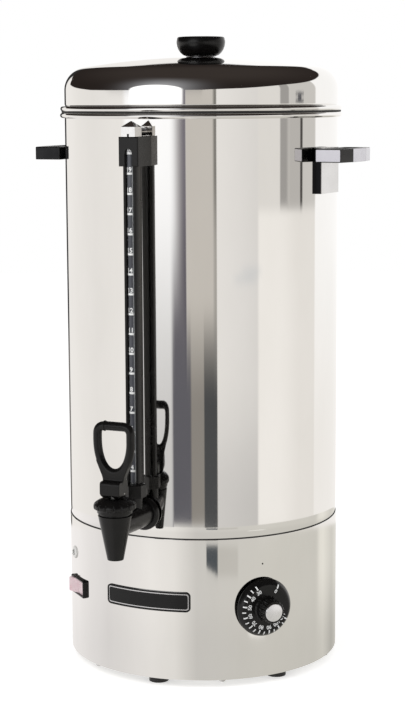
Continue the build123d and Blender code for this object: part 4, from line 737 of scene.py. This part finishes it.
def make_lever():
    """The tap's lever: loop, web and a hub whose slot is closed at the front."""
    front_wall = [(11.0, 5.2), (11.0, -1.7), (10.1, -3.0), (8.6, -3.1), (7.5, -1.0), (7.5, 5.2)]
    roof = [(11.0, 4.7), (11.0, HUB_TOP - 2.4), (10.3, HUB_TOP - 0.7), (8.6, HUB_TOP), (-HUB_BACK, HUB_TOP),
            (-HUB_BACK, 4.7)]
    web = [(-10, 211.0), (10, 211.0), (11.2, 218.0), (14.6, 226.0), (17.6, 233.0), (13.5, 232.0),
           (8.6, 225.0), (4.4, 222.2), (0, 221.3), (-4.4, 222.2), (-8.6, 225.0), (-13.5, 232.0),
           (-17.6, 233.0), (-14.6, 226.0), (-11.2, 218.0)]
    parts = [hub_cheek(2.85, HUB_HALF), hub_cheek(-2.85, -HUB_HALF), loop_tube(),
             slab_between(front_wall, -3.2, 3.2, from_side), slab_between(roof, -3.2, 3.2, from_side),
             slab_between(web, SPOUT_Y - 3.7, SPOUT_Y + 3.7, from_front)]
    wear(melted("lever_loop", parts, 0.55), "black_plastic", "lever", ["tap_lever"])


def bonnet_place(radius, turn, height):
    notch = 0.9 * max(0.0, cos(16 * turn)) ** 6 if radius > 18.8 else 0.0
    return (radius - notch) * sin(turn), SPOUT_Y - (radius - notch) * cos(turn), height


def make_bonnet():
    """Cap of the tap with a band of notches, hollow for the stem and its spring."""
    outline = [(4.3, BONNET_TOP), (11.2, BONNET_TOP), (12.0, 197.8), (15.5, 196.2), (18.2, 194.2),
               (19.2, 193.2), (19.7, 192.0), (19.8, 191.0), (19.8, 189.6), (19.5, 188.8), (18.6, 188.2),
               (17.0, 187.4), (16.6, 186.6), (16.6, BONNET_BOTTOM + 0.5), (16.3, BONNET_BOTTOM),
               (14.3, BONNET_BOTTOM), (14.3, 192.0), (11.0, 192.0), (11.0, 194.4), (4.3, 194.4)]
    wear(lathe("bonnet_cap", outline, 384, bonnet_place), "black_plastic", "urn", ["tap_bonnet"])


def make_spring():
    """Closing spring of the tap, wound over the height of the CAD spring, with its head under the bonnet's
    roof.
    """
    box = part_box("tap_spring")
    low, high = box[0][2] / MM, box[1][2] / MM
    wire, mean, turns, lift = SPRING_WIRE, SPRING_R, SPRING_TURNS, STEM_LIFT
    rings = []
    for k in range(turns * 36 + 1):
        turn = 2 * pi * k / 36
        climb = float(np.interp(turn / (2 * pi), [0, 1, turns - 1, turns], [0, 0.1, 0.9, 1]))
        height = low + wire + (high - low - 2 * wire) * climb
        ring = []
        for j in range(10):
            a = 2 * pi * j / 10
            radius = mean + wire * cos(a)
            ring.append((radius * sin(turn), SPOUT_Y - radius * cos(turn), height + wire * sin(a)))
        rings.append(ring)
    spring = joined("coil_spring", [loft(rings)])
    wear(spring, "screw_steel", "urn", ["tap_spring"])
    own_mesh(spring)


def guard_ring(height, depth):
    """Section of the channel at a height, open to the front."""
    front, half, wide = GAUGE_Y - 3.7, GUARD_HALF, GUARD_BACK_HALF
    back, inner = front + depth, half - GUARD_LIP
    floor = back - GUARD_SHEET
    right = [(inner - 0.6, floor), (inner, floor - 0.6), (inner, front + 0.5), (inner + 0.5, front),
             (half - 0.9, front), (half - 0.3, front + 0.3), (half, front + 0.9), (wide, back - 0.8),
             (wide - 0.8, back)]
    return [(x, y, height) for x, y in right + [(-x, y) for x, y in right[::-1]]]


def make_guard():
    """Channel round the back of the glass, with rounded lips, a little deeper at its head."""
    channel = loft([guard_ring(height, depth) for height, depth in GUARD_ENDS])
    wear(joined("guard_channel", [channel], 50.0), "black_plastic", "urn", ["gauge_guard"])


def make_lever_grip():
    """Raised pips along the top bar of the lever's loop, and the collar at its left end."""
    parts = []
    for column in range(12):
        for row in range(7):
            x = -6.5 + 1.5 * column + (0.75 if row % 2 else 0)
            turn = radians(-100 + 33 * row)
            parts.append(pip(x, turn, 0.46, 0.32))
    collar = []
    for k in range(28):
        a = 2 * pi * k / 28
        for along, out in ((-1.1, 0.0), (-0.8, 0.65), (0.0, 0.9), (0.8, 0.65), (1.1, 0.0)):
            reach = BAR_R + out - 0.05
            collar.append((-9.2 + along, SPOUT_Y - reach * cos(a), BAR_Z + reach * sin(a)))
    faces = [(5 * k + i, 5 * ((k + 1) % 28) + i, 5 * ((k + 1) % 28) + i + 1, 5 * k + i + 1)
             for k in range(28) for i in range(4)]
    parts.append((collar, faces))
    wear(joined("lever_grip", parts, 60.0), "black_plastic", "lever")


def pip(x, turn, radius, rise):
    """Low round pip on the bar, at a turn from its front."""
    points, count = [], 8
    out = Vector((0, -cos(turn), sin(turn)))
    side = Vector((0, sin(turn), cos(turn)))
    centre = Vector((x, SPOUT_Y, BAR_Z)) + out * (BAR_R - 0.06)
    for ring, lift in ((1.0, 0.0), (0.7, 0.75), (0.0, 1.0)):
        for k in range(count if ring else 1):
            a = 2 * pi * k / count
            points.append(tuple(centre + Vector((1, 0, 0)) * radius * ring * cos(a)
                                + side * radius * ring * sin(a) + out * rise * lift))
    faces = [(k, (k + 1) % count, count + (k + 1) % count, count + k) for k in range(count)]
    faces += [(count + k, count + (k + 1) % count, 2 * count) for k in range(count)]
    return points, faces


# ---------------- studio
CAMERA = Vector((0.7395, -1.6367, 0.56405))
LOOK = Vector((-0.40735, 0.90157, -0.14579))
ROLL = radians(0.2895)
CAMERA_AZ = atan2(CAMERA.x, -CAMERA.y)
MIDDLE, STUDIO_R = (0, 0, 0.3), 9.0     # metres
FILL_LEVEL, FLOOR_GLOW = 0.62, 0.46


def make_camera():
    data = bpy.data.cameras.new("camera")
    data.lens = 89.77
    data.sensor_width = 36.0
    data.clip_start, data.clip_end = 0.05, 60.0
    camera = bpy.data.objects.new("camera", data)
    look = LOOK.normalized()
    level = look.cross(Vector((0, 0, 1))).normalized()
    raised = level.cross(look)
    right = level * cos(ROLL) - raised * sin(ROLL)
    up = raised * cos(ROLL) + level * sin(ROLL)
    rotation = Matrix((right, up, -look)).transposed()
    camera.matrix_world = Matrix.Translation(CAMERA) @ rotation.to_4x4()
    bpy.context.scene.collection.objects.link(camera)
    bpy.context.scene.camera = camera


def step(value, low, high):
    t = np.clip((value - low) / (high - low), 0, 1)
    return t * t * (3 - 2 * t)


def band(value, low, high, soft):
    return step(value, low - soft / 2, low + soft / 2) * (1 - step(value, high - soft / 2, high + soft / 2))


# Upright panels round the urn: from and to azimuth, width of each soft edge, tone at the level of the
# lid and at the foot of the tank, and the two elevations between which one runs into the other.
PANELS = [
    (47.5, 200.0, 3.0, 1.0, (0.80, 0.775, 0.74), (0.86, 0.83, 0.79), -2.3, -2.9),
    (47.5, 78.0, 3.0, 26.0, (0.80, 0.775, 0.74), (0.95, 0.92, 0.88), -2.3, -2.9),
    (-66.0, -20.0, 6.0, 8.0, (1.12, 1.12, 1.13), (0.64, 0.63, 0.62), 0.0, -11.5),
    (-20.0, -12.6, 14.0, 1.6, (0.19, 0.175, 0.20), (0.12, 0.11, 0.13), -0.5, -5.5),
    (-12.6, 12.0, 1.6, 0.8, (0.61, 0.575, 0.53), (0.28, 0.26, 0.235), -5.4, -10.0),
    (9.6, 12.0, 2.4, 0.8, (0.22, 0.21, 0.19), (0.42, 0.40, 0.37), -0.8, -4.4),
    (109.0, 200.0, 2.0, 1.0, (1.05, 1.04, 1.03), (0.95, 0.925, 0.895), -2.0, -12.0),
    (-172.0, -158.0, 3.0, 3.0, (0.03, 0.03, 0.03), (0.20, 0.19, 0.18), -6.0, -9.0)]
# Panels that fade in towards the foot of the tank, as (from, to, soft, tone, start and end of the
# fade), and panels that stand only beside its head, with the elevation where they end.
LOW_PANELS = [(-24.5, -14.5, 5.0, (0.15, 0.14, 0.16), 2.5, 8.0),
              (-24.7, -9.6, 1.6, (0.125, 0.122, 0.138), 5.6, 9.8),
              (1.2, 12.0, 0.8, (0.076, 0.078, 0.080), 5.8, 10.0)]
HIGH_PANELS = [(67.8, 77.0, 1.5, (0.38, 0.365, 0.35), 60.0), (75.0, 90.0, 3.0, (0.52, 0.50, 0.475), 1.1),
               (77.0, 109.0, 3.0, (0.64, 0.62, 0.59), 60.0), (77.0, 90.5, 3.0, (0.52, 0.50, 0.475), 1.1),
               (89.4, 92.2, 0.8, (0.08, 0.075, 0.07), 1.1)]


def laid(light, tone, cover):
    cover = cover[..., None]
    return light * (1 - cover) + tone * cover


def lid_edge(azimuth):
    """Elevation where the pale walls end and the dark ceiling starts."""
    turns = [-180, -160, -150, -145, -104, -79, 0, 33, 73, 128, 157, 165, 172, 180]
    return np.interp(azimuth, turns, [17, 16, 15, 9.7, 2.6, 2.1, 2.1, 6.4, 18.5, 27.0, 29, 26, 20, 18])


def studio_light(azimuth, elevation):
    """Colour of the studio by direction, azimuth in degrees from the camera: pale walls with a few
    upright panels, a dark ceiling, a softbox at the left and the pale table below."""
    level = np.interp(azimuth, [-180, -138, -100, -60, 15, 45, 70, 180],
                      [.90, .92, .87, .92, .86, .78, .78, .90])
    level = level * (1 - 0.22 * band(azimuth, 12.0, 47.0, 1.0) * step(-elevation, 8.5, 13.7))
    light = level[..., None] * np.array((1.0, 0.972, 0.94))
    for start, end, left, right, top, foot, high, low in PANELS:
        mix = step(-elevation, -high, -low)[..., None]
        cover = step(azimuth, start - left / 2, start + left / 2)
        cover = cover * (1 - step(azimuth, end - right / 2, end + right / 2))
        light = laid(light, np.array(top) * (1 - mix) + np.array(foot) * mix, cover)
    for start, end, soft, tone, high, low in LOW_PANELS:
        light = laid(light, np.array(tone), band(azimuth, start, end, soft) * step(-elevation, high, low))
    for start, end, soft, tone, top in HIGH_PANELS:
        cover = band(azimuth, start, end, soft) * band(elevation, -2.45, top, 0.5)
        light = laid(light, np.array(tone), cover)
    dark = band(azimuth, -24.7, 1.2, 0.5)
    table = step(-elevation, 14.45 - 0.3 * dark, 14.65 - 0.3 * dark)
    tint = np.interp(azimuth, [-180, -138, -90, -45, -25, -6, 60, 110, 125, 145, 180],
                     [.95, .95, .82, .92, .87, .665, .68, .655, .72, .52, .70])
    tint = tint * (1 - 0.06 * step(-elevation, 16.5, 19.0))
    tint = tint + 0.16 * band(azimuth, 116.0, 165.0, 8.0) * (1 - step(-elevation, 15.5, 19.0))
    blue = np.interp(azimuth, [-90, 60], [.96, .895])
    cloth = tint[..., None] * np.stack([np.ones_like(tint), 0.972 + 0 * tint, blue], -1)
    light = laid(light, cloth, table)
    return add_table_things(light, azimuth, elevation)


def add_table_things(light, azimuth, elevation):
    """A dark box, a grey one and a bright rag on the table, the ceiling, a smudge and a barred post
    beside the head of the tank, and the softbox with its halo."""
    slant = np.clip((azimuth - 2.4) / 9.4, 0, 1)
    foot = 15.85 + 0.32 * slant
    box = band(azimuth, 2.4, 12.0, 0.5) * step(-elevation, 15.0, 15.12)
    box = box * (1 - step(-elevation, foot - 0.05, foot + 0.05))
    light = laid(light, np.array((0.075, 0.085, 0.095)), box)
    grey = band(azimuth, 12.0, 29.0, 2.5) * band(-elevation, 15.1, 16.2, 0.3)
    light = laid(light, np.array((0.55, 0.53, 0.49)), 0.75 * grey)
    rag = 1 - step(((azimuth - 46.0) / 9.0) ** 2 + ((elevation + 18.25) / 0.24) ** 2, 0.6, 1.2)
    light = laid(light, np.array((1.0, 0.98, 0.93)), 0.8 * rag)
    edge = lid_edge(azimuth)
    height = step(elevation, 10, 70)[..., None]
    ceiling = np.array((0.022, 0.017, 0.015)) + np.array((0.02, 0.017, 0.015)) * height
    light = laid(light, ceiling, step(elevation, edge - 0.5, edge + 0.5))
    above = elevation + 5.0 - 0.012 * (azimuth - 38)
    smudge = 1 - step(((azimuth - 38.0) / 13.0) ** 2 + (above / 0.32) ** 2, 0.2, 1.3)
    light = laid(light, np.array((0.60, 0.62, 0.64)), 0.5 * smudge)
    post = band(azimuth, 86.6, 90.6, 0.6) * band(elevation, 1.42, 1.78, 0.06)
    bars = band(elevation, 1.42, 1.52, 0.06) + band(elevation, 1.68, 1.78, 0.06)
    bars = band(azimuth, 84.0, 93.4, 0.8) * bars
    light = laid(light, np.array((0.09, 0.09, 0.10)), np.clip(post + bars, 0, 1))
    halo = 0.5 * np.exp(-((azimuth + 34) / 26) ** 2)
    halo = halo * (1 - step(elevation, 16, 62)) * step(elevation, 1.5, 2.5)
    light = laid(light, np.array((0.75, 0.76, 0.80)), halo)
    lamp = 1 - step(((azimuth + 38.0) / 23.0) ** 2 + (np.maximum(elevation - 1.7, 0) / 22.0) ** 2, 0.82, 1.12)
    return laid(light, np.array((1.5, 1.5, 1.5)), lamp * step(elevation, 0.9, 1.5))


def emptied(owner):
    """Node tree of a material or world, with nothing in it."""
    owner.use_nodes = True
    owner.node_tree.nodes.clear()
    return owner.node_tree


def make_studio():
    """Round wall that only reflections see. The camera sees the white world behind it."""
    azimuths = np.arange(-180, 180, 0.4)
    spans = ((-90, -20, 2.5), (-20, -13.5, 0.1), (-13.5, -3, 0.3), (-3, 3, 0.06), (3, 50, 0.4), (50, 91, 2.5))
    elevations = np.concatenate([np.arange(*span) for span in spans])
    az, el = np.meshgrid(azimuths, elevations)
    turn, lift = np.radians(az) + CAMERA_AZ, np.radians(el)
    away = np.stack([np.sin(turn) * np.cos(lift), -np.cos(turn) * np.cos(lift), np.sin(lift)], -1)
    points = np.array(MIDDLE) + STUDIO_R * away
    rows, wide = az.shape
    faces = [(j * wide + i, j * wide + (i + 1) % wide, (j + 1) * wide + (i + 1) % wide, (j + 1) * wide + i)
             for j in range(rows - 1) for i in range(wide)]
    mesh = bpy.data.meshes.new("studio_wall")
    mesh.from_pydata(points.reshape(-1, 3).tolist(), [], faces)
    light = np.ones((rows * wide, 4))
    light[:, :3] = studio_light(az, el).reshape(-1, 3)
    tones = mesh.color_attributes.new("light", "FLOAT_COLOR", "POINT")
    tones.data.foreach_set("color", light.ravel())
    wall = bpy.data.objects.new("studio_wall", mesh)
    bpy.context.scene.collection.objects.link(wall)
    material = bpy.data.materials.new("studio_wall")
    tree = emptied(material)
    colour = add(tree, "ShaderNodeAttribute", attribute_name="light").outputs["Color"]
    glow = add(tree, "ShaderNodeEmission", {"Color": colour, "Strength": 1.0})
    out = add(tree, "ShaderNodeOutputMaterial")
    tree.links.new(glow.outputs[0], out.inputs[0])
    material.cycles.emission_sampling = "NONE"
    mesh.materials.append(material)
    wall.visible_camera = wall.visible_diffuse = wall.visible_shadow = wall.visible_transmission = False


def make_floor():
    """Matt floor. A glow that only the camera sees lifts it to the white of the world behind it."""
    floor = lathe("floor", [(0, 0), (4000, 0), (4000, -1), (0, -1)], 96)
    material = bpy.data.materials.new("floor")
    tree = emptied(material)
    place = add(tree, "ShaderNodeTexCoord").outputs["Object"]
    noise = add(tree, "ShaderNodeTexNoise", {"Vector": place, "Scale": 2.5, "Detail": 3.0})
    mix = add(tree, "ShaderNodeMix", {"Factor": noise.outputs["Fac"], "A": rgb((0.88, 0.88, 0.88)),
                                      "B": rgb((0.91, 0.91, 0.91))}, data_type="RGBA")
    paper = add(tree, "ShaderNodeBsdfDiffuse", {"Color": mix.outputs["Result"]})
    seen = add(tree, "ShaderNodeLightPath").outputs["Is Camera Ray"]
    lift = add(tree, "ShaderNodeMath", {0: seen, 1: FLOOR_GLOW}, operation="MULTIPLY")
    glow = add(tree, "ShaderNodeEmission", {"Color": (1, 1, 1, 1), "Strength": lift.outputs[0]})
    both = add(tree, "ShaderNodeAddShader", {0: paper.outputs[0], 1: glow.outputs[0]})
    out = add(tree, "ShaderNodeOutputMaterial")
    tree.links.new(both.outputs[0], out.inputs[0])
    floor.data.materials.append(material)
    floor.visible_glossy = False


def make_world():
    """White to the camera, mirrors and glass, and dimmer as the light that falls on the urn."""
    world = bpy.data.worlds.new("studio")
    bpy.context.scene.world = world
    tree = emptied(world)
    path = add(tree, "ShaderNodeLightPath")
    seen = add(tree, "ShaderNodeMath", {0: path.outputs["Is Camera Ray"], 1: path.outputs["Is Glossy Ray"]},
               operation="MAXIMUM")
    seen = add(tree, "ShaderNodeMath", {0: seen.outputs[0], 1: path.outputs["Is Transmission Ray"]},
               operation="MAXIMUM")
    level = add(tree, "ShaderNodeMapRange", {"Value": seen.outputs[0], "To Min": FILL_LEVEL, "To Max": 1.0})
    light = add(tree, "ShaderNodeBackground", {"Color": (1, 1, 1, 1), "Strength": level.outputs["Result"]})
    out = add(tree, "ShaderNodeOutputWorld")
    tree.links.new(light.outputs[0], out.inputs["Surface"])


def make_lamp(name, azimuth, elevation, distance, size, power):
    """Softbox that faces the middle of the urn, at an azimuth from the camera. Reflections don't see it;
    the studio wall has a softbox of its own at the left."""
    data = bpy.data.lights.new(name, "AREA")
    data.shape = "SQUARE"
    data.size = size
    data.energy = power
    lamp = bpy.data.objects.new(name, data)
    turn, lift = CAMERA_AZ + radians(azimuth), radians(elevation)
    target = Vector(MIDDLE)
    away = Vector((sin(turn) * cos(lift), -cos(turn) * cos(lift), sin(lift)))
    facing = away.to_track_quat("Z", "Y").to_matrix().to_4x4()
    lamp.matrix_world = Matrix.Translation(target + away * distance) @ facing
    lamp.visible_glossy = False
    bpy.context.scene.collection.objects.link(lamp)


def make_lights():
    make_lamp("key_lamp", -40, 38, 2.0, 1.2, 11.0)
    make_lamp("fill_lamp", 75, 25, 2.4, 1.4, 6.0)
    make_lamp("top_lamp", 160, 65, 2.2, 1.2, 5.0)


dress_nodes()
make_casing()
make_knob()
make_scale()
make_dial()
make_dial_marks()
make_index_dot()
make_badge_line()
make_handle("right", HANDLE_AZ)
make_handle("left", -HANDLE_AZ)
make_guard()
make_bonnet()
make_spring()
make_lever()
make_lever_grip()
make_camera()
make_studio()
make_floor()
make_world()
make_lights()
bpy.context.scene.view_settings.view_transform = "Standard"
